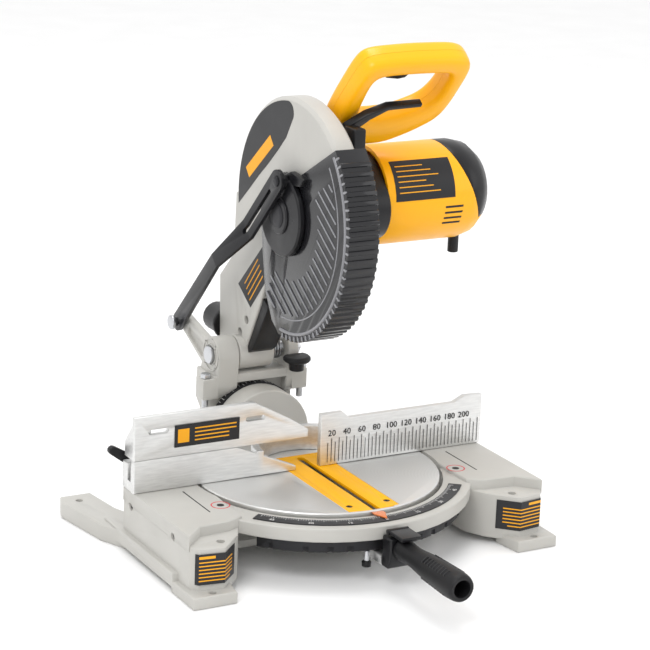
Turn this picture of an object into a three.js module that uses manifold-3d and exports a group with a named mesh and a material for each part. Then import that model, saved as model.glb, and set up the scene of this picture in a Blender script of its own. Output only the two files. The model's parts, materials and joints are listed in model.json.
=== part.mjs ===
// A compound miter saw for the bench: chop arm, turntable and tilting trunnion.
// Millimetres, +Z up. The saw's own frame has x = 0 in the blade's plane, y = 0 on the
// fence's front face and z = 0 on the bench; the operator stands on the -Y side.
import * as THREE from "three";
import { mergeVertices } from "three/addons/utils/BufferGeometryUtils.js";
import Module from "manifold-3d";

const wasm = await Module();
wasm.setup();

// ---------- driving dimensions ----------
const CLEAR = 0.3; // gap between pieces that touch
const CHAMFER = 1.2; // broken edge of the castings

const TABLE_HEIGHT = 74; // table top above the bench
const TABLE_RADIUS = 144.6;
const TABLE_THICKNESS = 12;
const MITER_Y = -4; // the turntable's centre
const WELL_GAP = 4.4; // between the turntable and the base
const RING_RADIUS = 181; // outer rim that carries the miter scale
const RING_DROP = 4; // rim's top below the table top
const RING_THICKNESS = 16;
const SCALE_INNER = 156;
const SCALE_OUTER = 171;
const SCALE_THICKNESS = 0.9;
const DETENT_RADIUS = 172;
const DETENT_THICKNESS = 15;
const FLOOR_Z = 14; // web under the turntable
const FLOOR_THICKNESS = 8;
const ARM_HALF_WIDTH = 15;

const BLOCK_X = 225; // outer side of the side blocks
const FENCE_END = BLOCK_X + 3; // outer end of each fence
const FENCE_WALL = 8;
const FENCE_DEPTH = 30;
const LEFT_FENCE_HEIGHT = 37.8;
const RIGHT_FENCE_HEIGHT = 55;
const RIGHT_FENCE_EAR = 62;
const SLIDER_TOP = 89.5;
const SLIDER_WALL = 7;
const BRIDGE_RADIUS = 66;
const BRIDGE_HEIGHT = 30;

const KERF_HALF_WIDTH = 31.9;
const KERF_THICKNESS = 4;
const SLOT_LEFT = -3.4;
const SLOT_RIGHT = 6;

const BLADE_RADIUS = 127;
const BLADE_THICKNESS = 2.4;
const BLADE_TEETH = 60;
const ARBOR_Y = 50; // the raised blade's centre
const ARBOR_Z = TABLE_HEIGHT + 292;
const ARBOR_RADIUS = 7.9;
const PIVOT_Y = 168; // the chop pivot
const PIVOT_Z = TABLE_HEIGHT + 95;
const PIN_RADIUS = 8;
const BOSS_RADIUS = 21.5;
const LUG_Y = 250; // the guard link's lower pivot
const LUG_Z = TABLE_HEIGHT + 114;
const LINK_TOP_Y = 39.5; // the guard link's upper end
const LINK_TOP_Z = TABLE_HEIGHT + 335;

const HOUSING_RADIUS = 58; // bevel housing, round the bevel axis
const HOUSING_FRONT = 118;
const HOUSING_BACK = 163;

const MOTOR_Y = 80;
const MOTOR_Z = TABLE_HEIGHT + 298.5;
const MOTOR_RADIUS = 59.5;
const MOTOR_START = 98.3;
const MOTOR_END = 251;
const MOTOR_WALL = 5;
const GEAR_RADIUS = 23;
const PINION_RADIUS = 7;

const GUARD_OUTER = 145;
const GUARD_INNER = 139.5;
const UPPER_OUTER = 134.5;
const UPPER_INNER = 130;
const GUARD_FINS = 84;

const HANDLE_Z = TABLE_HEIGHT - 25; // axis of the miter lock handle
const HANDLE_START = -206;
const HANDLE_END = -329;

const T = TABLE_HEIGHT;
const LEDGE_TOP = T - 12; // the side blocks' front ledges
const BLOCK_BOTTOM = 8;
const FOOT_THICKNESS = 14;
const RAIL_THICKNESS = 20;
const BENCH_HOLE = 4.5;
const BENCH_HOLES = [[BLOCK_X - 19, -158], [BLOCK_X + 9, 138]]; // centres on the right; the left mirrors them

const HUB_BOTTOM = 35.6; // the turntable's hub
const HUB_RADIUS = 34;
const PIVOT_BOLT = 6;
const TROUGH_BOTTOM = 42;
const TROUGH_WALL = 4;
const ARM_BOTTOM = 25;
const ARM_TOP = 37;
const ROD_RADIUS = 4.5; // the miter lock rod
const BRACKET_BACK = MITER_Y - RING_RADIUS - 1.5;
const BRACKET_FRONT = -205;
const LATCH_Y = -194; // hinge of the latch paddle
const LATCH_Z = LEDGE_TOP + 4;
const LATCH_RADIUS = 3.4;

const GUIDE_FRONT = 9.5; // the sliding fence's guide leg, behind the fixed fence's wall
const GUIDE_BACK = 15.5;
const FENCE_FOOT = 8; // thickness of the flange that the bolts hold
const FENCE_BOLT = 4;
const CLAMP_X = 20 - FENCE_END; // the sliding fence's clamp screw
const CLAMP_Z = T + 22;
const CLAMP_SCREW = 4;

const BEVEL_STUD = 8;
const LUG_LEFT = [-52, -24]; // the trunnion's lugs, from side to side
const LUG_RIGHT = [42, 56];
const LINK_LUG = [-50, -41];
const LINK_BOLT = 5;
const STOP_BOLT = 4;
const STOP_X = 64;
const STOP_Y = 157;
const STOP_SEAT = T + 70;
const WEB_TOP = T + 72;
const LOCK_PIN = 4; // the pin that holds the head down
const LOCK_Y = 183;
const LOCK_Z = T + 62;

const ARM_HALF = 15; // half the thickness of the head's arm
const CHUTE_HALF = 10;
const SPOUT_Z = T + 113;
const SPOUT_FLANGE = 223.3;
const SPOUT_NECK = 14.2;
const LOCK_BUTTON = 5; // the spindle lock
const LOCK_BUTTON_X = 40;
const LOCK_BUTTON_Z = ARBOR_Z + 20;
const HANDLE_THICKNESS = 34;
const TRIGGER_HALF = 7.5;
const CORD_X = 226; // the cord's gland, under the motor's end
const GLAND_RADIUS = 9;
const GLAND_BORE = 3.2;

const LINK_THICKNESS = 5;
const LINK_NEAR = -35; // the upper end's face, beside the guard
const LINK_FAR = -54; // the lower end's face, beside the lug
const LINK_STEP = [140, 205]; // where the bar steps sideways, from its lower end

const WELL_RADIUS = TABLE_RADIUS + WELL_GAP;
const RING_TOP = T - RING_DROP;
const RING_BOTTOM = RING_TOP - RING_THICKNESS;

// ---------- materials ----------
function paint(color, roughness, metalness) {
  return new THREE.MeshStandardMaterial({ color, roughness, metalness, flatShading: true });
}
const CAST = paint(0xc9c7c1, 0.5, 0.5);
const MACHINED = paint(0xe8e8e6, 0.3, 0.8);
const STEEL = paint(0xb8babd, 0.3, 0.9);
const DARK_STEEL = paint(0x3a3b3d, 0.45, 0.7);
const BLACK = paint(0x232427, 0.5, 0.0);
const YELLOW = paint(0xf5b316, 0.4, 0.0);
const SMOKE = paint(0x3b3c40, 0.25, 0.0);
const COPPER = paint(0xa8642e, 0.4, 0.8);

// ---------- solids ----------
function solid(geometry) {
  const bare = geometry.clone();
  bare.deleteAttribute("normal");
  bare.deleteAttribute("uv");
  const merged = mergeVertices(bare, 1e-4);
  return new wasm.Manifold(
    new wasm.Mesh({
      numProp: 3,
      vertProperties: new Float32Array(merged.attributes.position.array),
      triVerts: new Uint32Array(merged.index.array),
    }),
  );
}

function join(...solids) {
  return solids.reduce((sum, s) => sum.add(s));
}

function cut(body, ...tools) {
  return tools.reduce((rest, s) => rest.subtract(s), body);
}

function part(name, body, material) {
  const shape = body.getMesh();
  const geometry = new THREE.BufferGeometry();
  geometry.setAttribute("position", new THREE.BufferAttribute(shape.vertProperties, 3));
  geometry.setIndex(new THREE.BufferAttribute(shape.triVerts, 1));
  geometry.computeVertexNormals();
  const mesh = new THREE.Mesh(geometry, material);
  mesh.name = name;
  return mesh;
}

function polygon(points) {
  return new THREE.Shape(points.map(([u, v]) => new THREE.Vector2(u, v)));
}

function mirrored(points) {
  return points.map(([u, v]) => [-u, v]).reverse();
}

function lift(points, z) {
  return points.map(([u, v]) => [u, v + z]);
}

function polar(radius, degrees, u = 0, v = 0) {
  const a = THREE.MathUtils.degToRad(degrees);
  return [u + radius * Math.cos(a), v + radius * Math.sin(a)];
}

function arc(radius, from, to, steps, u = 0, v = 0) {
  const points = [];
  for (let i = 0; i <= steps; i++) points.push(polar(radius, from + ((to - from) * i) / steps, u, v));
  return points;
}

function circle(radius, sides, u = 0, v = 0) {
  return polygon(arc(radius, 0, 360, sides, u, v).slice(0, -1));
}

function ringSector(inner, outer, from, to, steps, u = 0, v = 0) {
  return polygon([...arc(outer, from, to, steps, u, v), ...arc(inner, to, from, steps, u, v)]);
}

// The outline round two discs, as a belt runs round two pulleys.
function belt(u1, v1, r1, u2, v2, r2, steps) {
  const along = THREE.MathUtils.radToDeg(Math.atan2(v2 - v1, u2 - u1));
  const lean = THREE.MathUtils.radToDeg(Math.acos((r1 - r2) / Math.hypot(u2 - u1, v2 - v1)));
  return polygon([
    ...arc(r1, along + lean, along + 360 - lean, steps, u1, v1),
    ...arc(r2, along - lean, along + lean, steps, u2, v2),
  ]);
}

function roundedBar(u0, v0, u1, v1) {
  const r = (v1 - v0) / 2;
  const v = (v0 + v1) / 2;
  return polygon([...arc(r, -90, 90, 8, u1 - r, v), ...arc(r, 90, 270, 8, u0 + r, v)]);
}

// Extrudes an outline from low to high along one axis, with optional broken edges.
function extruded(shape, low, high, chamfer, matrix, offset) {
  const geometry = new THREE.ExtrudeGeometry(shape, {
    depth: high - low - 2 * chamfer,
    curveSegments: 24,
    bevelEnabled: chamfer > 0,
    bevelThickness: chamfer,
    bevelSize: chamfer,
    bevelOffset: -chamfer,
    bevelSegments: 1,
  });
  geometry.translate(0, 0, chamfer);
  geometry.applyMatrix4(matrix);
  geometry.translate(...offset);
  return solid(geometry);
}

const AXIS = {
  x: new THREE.Vector3(1, 0, 0),
  y: new THREE.Vector3(0, 1, 0),
  z: new THREE.Vector3(0, 0, 1),
};
const TO_X = new THREE.Matrix4().makeBasis(AXIS.y, AXIS.z, AXIS.x);
const TO_Y = new THREE.Matrix4().makeBasis(AXIS.x, AXIS.z, AXIS.y.clone().negate());

function alongX(shape, x0, x1, chamfer = 0) {
  return extruded(shape, x0, x1, chamfer, TO_X, [x0, 0, 0]);
}

function alongY(shape, y0, y1, chamfer = 0) {
  return extruded(shape, y0, y1, chamfer, TO_Y, [0, y1, 0]);
}

function alongZ(shape, z0, z1, chamfer = 0) {
  return extruded(shape, z0, z1, chamfer, new THREE.Matrix4(), [0, 0, z0]);
}

function box(x0, x1, y0, y1, z0, z1, chamfer = 0) {
  const corners = [[x0, y0], [x1, y0], [x1, y1], [x0, y1]];
  return alongZ(polygon(corners), z0, z1, chamfer);
}

function rodX(radius, x0, x1, y, z, sides = 16, chamfer = 0) {
  return alongX(circle(radius, sides, y, z), x0, x1, chamfer);
}

function rodY(radius, y0, y1, x, z, sides = 16, chamfer = 0) {
  return alongY(circle(radius, sides, x, z), y0, y1, chamfer);
}

function rodZ(radius, z0, z1, x, y, sides = 16, chamfer = 0) {
  return alongZ(circle(radius, sides, x, y), z0, z1, chamfer);
}

// A turned solid about its own X axis: rows of [x, radius], closed on the axis.
function turnedX(rows, y, z, sides = 32) {
  const points = rows.map(([x, r]) => new THREE.Vector2(r, x));
  const geometry = new THREE.LatheGeometry(points, sides);
  geometry.applyMatrix4(new THREE.Matrix4().makeBasis(AXIS.y, AXIS.x, AXIS.z.clone().negate()));
  geometry.translate(0, y, z);
  return solid(geometry);
}

function turnedY(rows, x, z, sides = 32) {
  const points = rows.map(([y, r]) => new THREE.Vector2(r, y));
  const geometry = new THREE.LatheGeometry(points, sides);
  geometry.translate(x, 0, z);
  return solid(geometry);
}

// ---------- base ----------
const BLOCK_LEDGE = [
  [WELL_RADIUS - 2, -100], [WELL_RADIUS + 11, -124], [BLOCK_X - 36, -152], [BLOCK_X - 7, -148],
  [BLOCK_X, -139], [BLOCK_X, 32], [WELL_RADIUS - 6, 32],
];
const BLOCK_TOP = [
  [WELL_RADIUS - 4, -103], [WELL_RADIUS + 16, -113], [BLOCK_X - 23, -116], [BLOCK_X + 1, -139],
  [BLOCK_X + 1, 32], [WELL_RADIUS - 7, 32],
];
const FLANGE_X = BLOCK_X + 7; // outer side of the low flange
const FRONT_FOOT = [
  [BLOCK_X - 51, -128], [BLOCK_X - 45, -166], [FLANGE_X, -166], [FLANGE_X, -110],
  [BLOCK_X - 3, -104],
];
const REAR_RAIL = [
  [BLOCK_X - 35, 20], [BLOCK_X, 20], [BLOCK_X + 17, 59], [BLOCK_X + 30, 141],
  [BLOCK_X + 25, 158], [BLOCK_X - 13, 158], [BLOCK_X - 20, 100], [BLOCK_X - 35, 60],
];

function sideBlock(flip) {
  const side = flip ? mirrored : (points) => points;
  const sign = flip ? -1 : 1;
  const flange = [[BLOCK_X - 5, -112], [FLANGE_X, -112], [FLANGE_X, 70], [BLOCK_X - 5, 70]];
  const block = join(
    alongZ(polygon(side(BLOCK_LEDGE)), BLOCK_BOTTOM, LEDGE_TOP, CHAMFER),
    alongZ(polygon(side(BLOCK_TOP)), LEDGE_TOP - 6, T, CHAMFER),
    alongZ(polygon(side(FRONT_FOOT)), 0, FOOT_THICKNESS, CHAMFER),
    alongZ(polygon(side(REAR_RAIL)), 0, RAIL_THICKNESS, CHAMFER),
    alongZ(polygon(side(flange)), 6, 23, CHAMFER),
  );
  return cut(
    block,
    ...BENCH_HOLES.map(([x, y]) => rodZ(BENCH_HOLE, -1, RAIL_THICKNESS + 1, sign * x, y, 10)),
    rodZ(5, LEDGE_TOP - 24, LEDGE_TOP + 1, sign * (BLOCK_X - 38), -136, 10),
    rodX(5, sign * BLOCK_X - 16, sign * BLOCK_X + 16, 13, T - 19, 8),
    rodX(5, sign * BLOCK_X - 16, sign * BLOCK_X + 16, -98, T - 15, 8),
  );
}

function baseCasting() {
  const rim = ringSector(WELL_RADIUS - 1, RING_RADIUS, 198, 342, 20, 0, MITER_Y);
  const well = rodZ(WELL_RADIUS, BLOCK_BOTTOM - 1, T + 1, 0, MITER_Y, 60);
  const floor = join(
    rodZ(100, FLOOR_Z, FLOOR_Z + FLOOR_THICKNESS, 0, MITER_Y, 28),
    box(-160, 160, -55, 30, FLOOR_Z, FLOOR_Z + FLOOR_THICKNESS),
    rodZ(24, FLOOR_Z, HUB_BOTTOM - CLEAR, 0, MITER_Y, 20),
  );
  return join(
    cut(
      join(sideBlock(false), sideBlock(true), alongZ(rim, RING_BOTTOM, RING_TOP, CHAMFER)),
      well,
    ),
    cut(floor, rodZ(PIVOT_BOLT + CLEAR, 0, 60, 0, MITER_Y)),
  );
}

function scaleBand() {
  const band = ringSector(SCALE_INNER, SCALE_OUTER, 218, 322, 20, 0, MITER_Y);
  return alongZ(band, RING_TOP + CLEAR, RING_TOP + CLEAR + SCALE_THICKNESS);
}

const DETENTS = [-45, -31.6, -22.5, -15, 0, 15, 22.5, 31.6, 45];

function detentPlate() {
  const top = RING_BOTTOM - CLEAR;
  const bottom = top - DETENT_THICKNESS;
  const plate = alongZ(
    ringSector(WELL_RADIUS + 2, DETENT_RADIUS, 220, 320, 16, 0, MITER_Y),
    bottom,
    top,
    CHAMFER,
  );
  const notches = DETENTS.map((angle) => {
    return rodZ(4, bottom - 1, bottom + 7, ...polar(DETENT_RADIUS, angle - 90, 0, MITER_Y), 6);
  });
  return cut(plate, ...notches);
}

function tablePivotBolt() {
  return join(
    rodZ(10, FLOOR_Z - 8, FLOOR_Z - CLEAR, 0, MITER_Y, 6),
    rodZ(PIVOT_BOLT, FLOOR_Z - 1, HUB_BOTTOM + 5, 0, MITER_Y),
  );
}

// ---------- fences ----------
const LEFT_FENCE = [
  [-FENCE_END, 0], [-23, 0], [-23, 5], [-96, LEFT_FENCE_HEIGHT - 1.5],
  [-100, LEFT_FENCE_HEIGHT], [-FENCE_END, LEFT_FENCE_HEIGHT],
];
const RIGHT_FENCE = [
  [8.6, 0], [FENCE_END, 0], [FENCE_END, RIGHT_FENCE_EAR - 1],
  [FENCE_END - 24, RIGHT_FENCE_EAR], [FENCE_END - 39, RIGHT_FENCE_HEIGHT],
  [46, RIGHT_FENCE_HEIGHT], [37, 63], [8.6, 63],
];
const FENCE_BOLTS = [[-WELL_RADIUS - 23, 24], [-110, 21], [112, 21], [FENCE_END - 30, 21]];

function fixedFence() {
  const floor = T + CLEAR;
  const ribs = [78, 140, FENCE_END - 52, FENCE_END - 6].map((x) =>
    alongX(polygon(lift([[6, 4], [FENCE_DEPTH - 2, 4], [6, 46]], floor)), x - 3, x + 3),
  );
  const fence = join(
    alongY(polygon(lift(LEFT_FENCE, floor)), 0, FENCE_WALL, 0.8),
    alongY(polygon(lift(RIGHT_FENCE, floor)), 0, FENCE_WALL, 0.8),
    alongZ(
      ringSector(BRIDGE_RADIUS, BRIDGE_RADIUS + 9, 3, 177, 16, 0, MITER_Y),
      floor,
      floor + BRIDGE_HEIGHT,
      0.8,
    ),
    box(-FENCE_END, -100, 4, FENCE_DEPTH, floor, floor + FENCE_FOOT, 0.8),
    box(60, FENCE_END, 4, FENCE_DEPTH, floor, floor + FENCE_FOOT, 0.8),
    box(-FENCE_END, 44 - FENCE_END, 4, FENCE_DEPTH, floor, floor + LEFT_FENCE_HEIGHT - 6, 0.8),
    ...ribs,
  );
  const guideWay = box(
    -FENCE_END - 1,
    -100,
    FENCE_WALL + 0.6,
    GUIDE_BACK + 1,
    floor + FENCE_FOOT + 4,
    floor + LEFT_FENCE_HEIGHT + 1,
  );
  const bores = FENCE_BOLTS.map(([x, y]) =>
    rodZ(FENCE_BOLT + CLEAR, floor - 1, floor + FENCE_FOOT + 1, x, y, 12),
  );
  const stud = rodY(CLAMP_SCREW + CLEAR, GUIDE_BACK - 1, FENCE_DEPTH + 2, CLAMP_X, CLAMP_Z, 12);
  return cut(fence, guideWay, stud, ...bores);
}

function fenceBolt(index) {
  const [x, y] = FENCE_BOLTS[index];
  const seat = T + CLEAR + FENCE_FOOT + CLEAR;
  const body = join(
    rodZ(FENCE_BOLT, T + CLEAR, seat + 1, 0, 0, 8),
    rodZ(8, seat, seat + 1.5, 0, 0, 12),
    rodZ(6.5, seat + 1.4, seat + 6.5, 0, 0, 6),
  );
  const bolt = part("fence_bolt_" + (index + 1), body, STEEL);
  bolt.position.set(x, y, 0);
  return bolt;
}

const SLIDER = [
  [-FENCE_END, 0], [-8.6, 0], [-8.2, 10], [-30, 24], [-78, 51], [-84, 51.5], [-FENCE_END, 51.5],
];

function slidingFence() {
  const floor = T + CLEAR + LEFT_FENCE_HEIGHT + CLEAR;
  const top = T + SLIDER_TOP;
  const outline = SLIDER.map(([u, v]) => [u, floor + (v * (top - floor)) / 51.5]);
  const gusset = polygon([
    [4, floor], [26, floor], [26, floor + 18], [8, top - 11], [4, top - 6],
  ]);
  const body = join(
    alongY(polygon(outline), 0, SLIDER_WALL, 0.8),
    alongX(gusset, -FENCE_END, -FENCE_END + 24, 0.8),
    alongX(gusset, -140, -132, 0.8),
    box(-148, -124, GUIDE_FRONT, GUIDE_BACK, T + CLEAR + FENCE_FOOT + 5, floor + 4),
    box(-148, -124, 4, GUIDE_BACK, floor, floor + 6),
  );
  const slots = [[17 - FENCE_END, 42 - FENCE_END], [-90, -65]].map(([x0, x1]) =>
    alongY(roundedBar(x0, top - 22, x1, top - 16), -1, SLIDER_WALL + 1),
  );
  return cut(body, ...slots);
}

function fenceClampLever() {
  const back = FENCE_DEPTH + CLEAR;
  return join(
    rodY(CLAMP_SCREW, GUIDE_BACK + CLEAR, back + 1, CLAMP_X, CLAMP_Z, 12),
    rodY(9, back, back + 9, CLAMP_X, CLAMP_Z, 16, 0.8),
    alongY(belt(CLAMP_X, CLAMP_Z, 7, CLAMP_X - 30, CLAMP_Z + 20, 5, 5), back + 3, back + 11, 1),
  );
}

// ---------- turntable ----------

function turntable() {
  const underside = T - TABLE_THICKNESS;
  const trough = join(
    box(-20, 32, -134, 72, TROUGH_BOTTOM, underside + 1),
    rodZ(HUB_RADIUS, HUB_BOTTOM, TROUGH_BOTTOM + 1, 0, MITER_Y, 20),
    box(-ARM_HALF_WIDTH, ARM_HALF_WIDTH, -186, -100, ARM_BOTTOM, ARM_TOP, CHAMFER),
    box(-ARM_HALF_WIDTH, ARM_HALF_WIDTH, -136, -100, ARM_BOTTOM, underside + 1),
    box(-34, 34, 60, HOUSING_FRONT - CLEAR, 32, underside + 1),
  );
  const inside = box(-15, 27, -130, 60, TROUGH_BOTTOM + TROUGH_WALL, underside + 2);
  const opening = box(-10, 24, -150, 42, underside - 1, T + 1);
  const recess = alongZ(kerfOutline(CLEAR), T - KERF_THICKNESS - CLEAR, T + 1);
  const disc = rodZ(TABLE_RADIUS, underside, T, 0, MITER_Y, 60, 1);
  const body = cut(
    join(disc, trough),
    inside,
    opening,
    recess,
    rodY(HOUSING_RADIUS + CLEAR, HOUSING_FRONT - CLEAR, 200, 0, T, 40),
    rodZ(PIVOT_BOLT + CLEAR, 0, HUB_BOTTOM + 5 + CLEAR, 0, MITER_Y),
  );
  const frontLip = box(-12, 26, -150, -145.5, underside, T); // closes the rim before the slot
  return join(body, disc.intersect(frontLip));
}

function kerfOutline(extra) {
  const half = KERF_HALF_WIDTH + extra;
  const reach = TABLE_RADIUS - 3.4 + extra;
  const turn = THREE.MathUtils.radToDeg(Math.asin(half / reach));
  return polygon([
    [half, 45 + extra], [-half, 45 + extra], ...arc(reach, 270 - turn, 270 + turn, 8, 0, MITER_Y),
  ]);
}

const KERF_SCREWS = [[-23, -126], [25, -126], [-23, 25], [25, 25]];

function kerfPlate() {
  const plate = alongZ(kerfOutline(0), T - KERF_THICKNESS, T, 0.4);
  const slot = alongZ(roundedSlot(), T - KERF_THICKNESS - 1, T + 1);
  const sinks = KERF_SCREWS.map(([x, y]) => rodZ(4, T - 2.4, T + 1, x, y, 12));
  return cut(plate, slot, ...sinks);
}

function roundedSlot() {
  const half = (SLOT_RIGHT - SLOT_LEFT) / 2;
  const middle = (SLOT_RIGHT + SLOT_LEFT) / 2;
  const end = arc(half, 0, 180, 8, middle, 38 - half);
  return polygon([[SLOT_LEFT, -160], [SLOT_RIGHT, -160], ...end]);
}

function kerfScrew(index) {
  const [x, y] = KERF_SCREWS[index];
  const head = cut(
    rodZ(3.6, T - 2.1, T - 0.4, 0, 0, 12),
    box(-0.5, 0.5, -2.6, 2.6, T - 1.2, T + 1),
  );
  const screw = part("kerf_screw_" + (index + 1), head, STEEL);
  screw.position.set(x, y, 0);
  return screw;
}

function bevelHousing() {
  const drum = rodY(HOUSING_RADIUS, HOUSING_FRONT, HOUSING_BACK, 0, T, 40, 1.5);
  const ear = box(-52, 52, 140, HOUSING_BACK, T - 20, T + 18, 1.5);
  return cut(
    join(drum, ear.intersect(rodY(HOUSING_RADIUS, 100, 200, 0, T, 40))),
    rodY(BEVEL_STUD + CLEAR, HOUSING_FRONT - 1, HOUSING_BACK + 1, 0, T),
    box(-40, 40, HOUSING_FRONT - 1, HOUSING_BACK - 10, T - 60, T - 24),
  );
}

function bevelScale() {
  const band = ringSector(HOUSING_RADIUS + CLEAR, HOUSING_RADIUS + 1.2, 30, 150, 20, 0, T);
  return alongY(band, HOUSING_BACK - 16, HOUSING_BACK - 5);
}

function miterPointer() {
  const front = MITER_Y - TABLE_RADIUS - CLEAR;
  const plate = polygon([[-7, front], [-7, front - 6], [0, front - 22], [7, front - 6], [7, front]]);
  return alongZ(plate, RING_TOP + SCALE_THICKNESS + 2 * CLEAR, RING_TOP + 2.6);
}

function miterBracket() {
  const side = polygon([
    [BRACKET_BACK, ARM_BOTTOM], [BRACKET_BACK, LEDGE_TOP - 1], [BRACKET_FRONT, LEDGE_TOP - 1],
    [BRACKET_FRONT, HANDLE_Z - 12], [BRACKET_FRONT + 6, ARM_BOTTOM],
  ]);
  return cut(
    alongX(side, -ARM_HALF_WIDTH, ARM_HALF_WIDTH, 1.5),
    rodY(ROD_RADIUS + CLEAR, -210, -180, 0, HANDLE_Z),
  );
}

function miterHandle() {
  const length = HANDLE_START - HANDLE_END;
  const at = (share) => HANDLE_END + share * length;
  return turnedY(
    [
      [at(0.2), 0], [at(0.2), 9.5], [at(0), 10.5], [at(0), 13.5], [at(0.03), 15.4],
      [at(0.12), 16.2], [at(0.4), 15.4], [at(0.62), 13.4], [at(0.76), 11.6], [at(0.9), 12.4],
      [at(0.97), 13], [at(1), 11.5], [at(1), 0],
    ],
    0,
    HANDLE_Z,
    20,
  );
}

function miterLockRod() {
  return rodY(ROD_RADIUS, HANDLE_START + CLEAR, MITER_Y - DETENT_RADIUS - 1, 0, HANDLE_Z);
}

function miterLatch() {
  return join(
    rodX(LATCH_RADIUS, -13, 13, LATCH_Y, LATCH_Z, 12),
    box(-12, 14, LATCH_Y - 30, LATCH_Y - 2, LATCH_Z - 2, LATCH_Z + 2.4, 1),
  );
}

// ---------- trunnion ----------

function trunnion() {
  const z = (v) => T + v;
  const rotor = rodY(HOUSING_RADIUS - 2, HOUSING_BACK + CLEAR, 184, 0, T, 36, 1.5);
  const web = polygon([
    [HOUSING_BACK + CLEAR, z(20)], [184, z(20)], [200, z(34)], [198, WEB_TOP], [150, WEB_TOP],
    [150, z(62)], [HOUSING_BACK + CLEAR, z(61)],
  ]);
  const lug = belt(174, z(60), 24, PIVOT_Y, PIVOT_Z, BOSS_RADIUS, 9);
  const linkLug = belt(178, PIVOT_Z - 6, 19, LUG_Y, LUG_Z, 11, 8);
  const body = join(
    rotor,
    alongX(web, -56, 56, CHAMFER),
    alongX(lug, ...LUG_LEFT, CHAMFER),
    alongX(lug, ...LUG_RIGHT, CHAMFER),
    alongX(linkLug, ...LINK_LUG, CHAMFER),
    box(-70, -50, 150, 170, z(44), STOP_SEAT, CHAMFER),
    box(50, 70, 150, 170, z(44), STOP_SEAT, CHAMFER),
  );
  const pocket = belt(196, PIVOT_Z - 2, 9, 232, PIVOT_Z + 10, 6, 6);
  return cut(
    body,
    rodY(HOUSING_RADIUS + 2, 120, HOUSING_BACK + CLEAR, 0, T, 36),
    rodX(PIN_RADIUS + CLEAR, -80, 80, PIVOT_Y, PIVOT_Z),
    rodY(BEVEL_STUD + CLEAR, 150, 210, 0, T),
    rodX(LINK_BOLT + CLEAR, -80, 0, LUG_Y, LUG_Z, 12),
    alongX(pocket, -51, -46),
    rodZ(STOP_BOLT + CLEAR, z(40), z(90), -STOP_X, STOP_Y, 12),
    rodZ(STOP_BOLT + CLEAR, z(40), z(90), STOP_X, STOP_Y, 12),
    rodX(LOCK_PIN + CLEAR, LUG_RIGHT[0] - 14, 80, LOCK_Y, LOCK_Z, 12),
  );
}

function chopPivotPin() {
  return join(
    rodX(PIN_RADIUS, -54, 58, PIVOT_Y, PIVOT_Z),
    rodX(13, LUG_RIGHT[1] + CLEAR, LUG_RIGHT[1] + 8, PIVOT_Y, PIVOT_Z, 6, 0.8),
    rodX(11, LUG_LEFT[0] - 5, LUG_LEFT[0] - CLEAR, PIVOT_Y, PIVOT_Z, 16, 0.8),
  );
}

class SpringPath extends THREE.Curve {
  constructor(radius, length, turns) {
    super();
    Object.assign(this, { radius, length, turns });
  }

  getPoint(t) {
    const a = 2 * Math.PI * this.turns * t;
    return new THREE.Vector3(this.length * t, this.radius * Math.cos(a), this.radius * Math.sin(a));
  }
}

function returnSpring() {
  const path = new SpringPath(12.5, 11.4, 3);
  const wire = circle(1.5, 6);
  const geometry = new THREE.ExtrudeGeometry(wire, { steps: 42, extrudePath: path });
  geometry.translate(26.3, PIVOT_Y, PIVOT_Z);
  return solid(geometry);
}

function stopBolt(x) {
  return join(
    rodZ(STOP_BOLT, STOP_SEAT - 38, STOP_SEAT + 1, x, STOP_Y, 12),
    rodZ(6.5, STOP_SEAT + CLEAR, STOP_SEAT + 6, x, STOP_Y, 6, 0.6),
  );
}

function headBumper() {
  const x = 49;
  const y = 150;
  return join(
    rodZ(9, WEB_TOP + CLEAR, WEB_TOP + 12, x, y - 12, 16),
    rodZ(17, WEB_TOP + 11, WEB_TOP + 19, x, y - 12, 20, 2.5),
  ).subtract(box(0, 90, y - 4, 200, 0, 300));
}

function bevelClampLever() {
  return join(
    rodY(BEVEL_STUD, 124, 206, 0, T),
    rodY(15, 200 + CLEAR, 212, 0, T, 20, 1.2),
    alongY(belt(0, T, 10, 46, T - 30, 7, 6), 203, 213, 1.5),
    rodY(8, 204, 232, 46, T - 30, 14, 2),
  );
}

function linkPivotBolt() {
  return join(
    rodX(LINK_BOLT, -64, LINK_LUG[1] + 4, LUG_Y, LUG_Z, 12),
    rodX(9, -68, -63.5, LUG_Y, LUG_Z, 16, 0.8),
  );
}

function lockdownPin() {
  return join(
    rodX(LOCK_PIN, LUG_RIGHT[0] + 1, 76, LOCK_Y, LOCK_Z, 12),
    rodX(9, 70, 84, LOCK_Y, LOCK_Z, 14, 2),
  );
}

// ---------- head ----------
const ARM_HOLES = [[150, PIVOT_Z + 44], [166, PIVOT_Z + 25]]; // two round recesses in the arm's left face
const REAR_ANGLE = -5; // the fixed guard's two ends, round the blade's axis
const FRONT_ANGLE = 155;
const ARM = lift([
  [186, 193], [189, 117], [224, 82], [220, 3], [208, -13], [168, -BOSS_RADIUS], [149, -9],
  [150, 10], [118, 70], [95, 124], [60, 161], [70, 231],
], PIVOT_Z);
const CHUTE = lift([
  [176, 197], [180, 114], [214, 78], [213, 9], [196, 5], [158, 27], [127, 74], [104, 128],
  [66, 167], [80, 221],
], PIVOT_Z);

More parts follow.
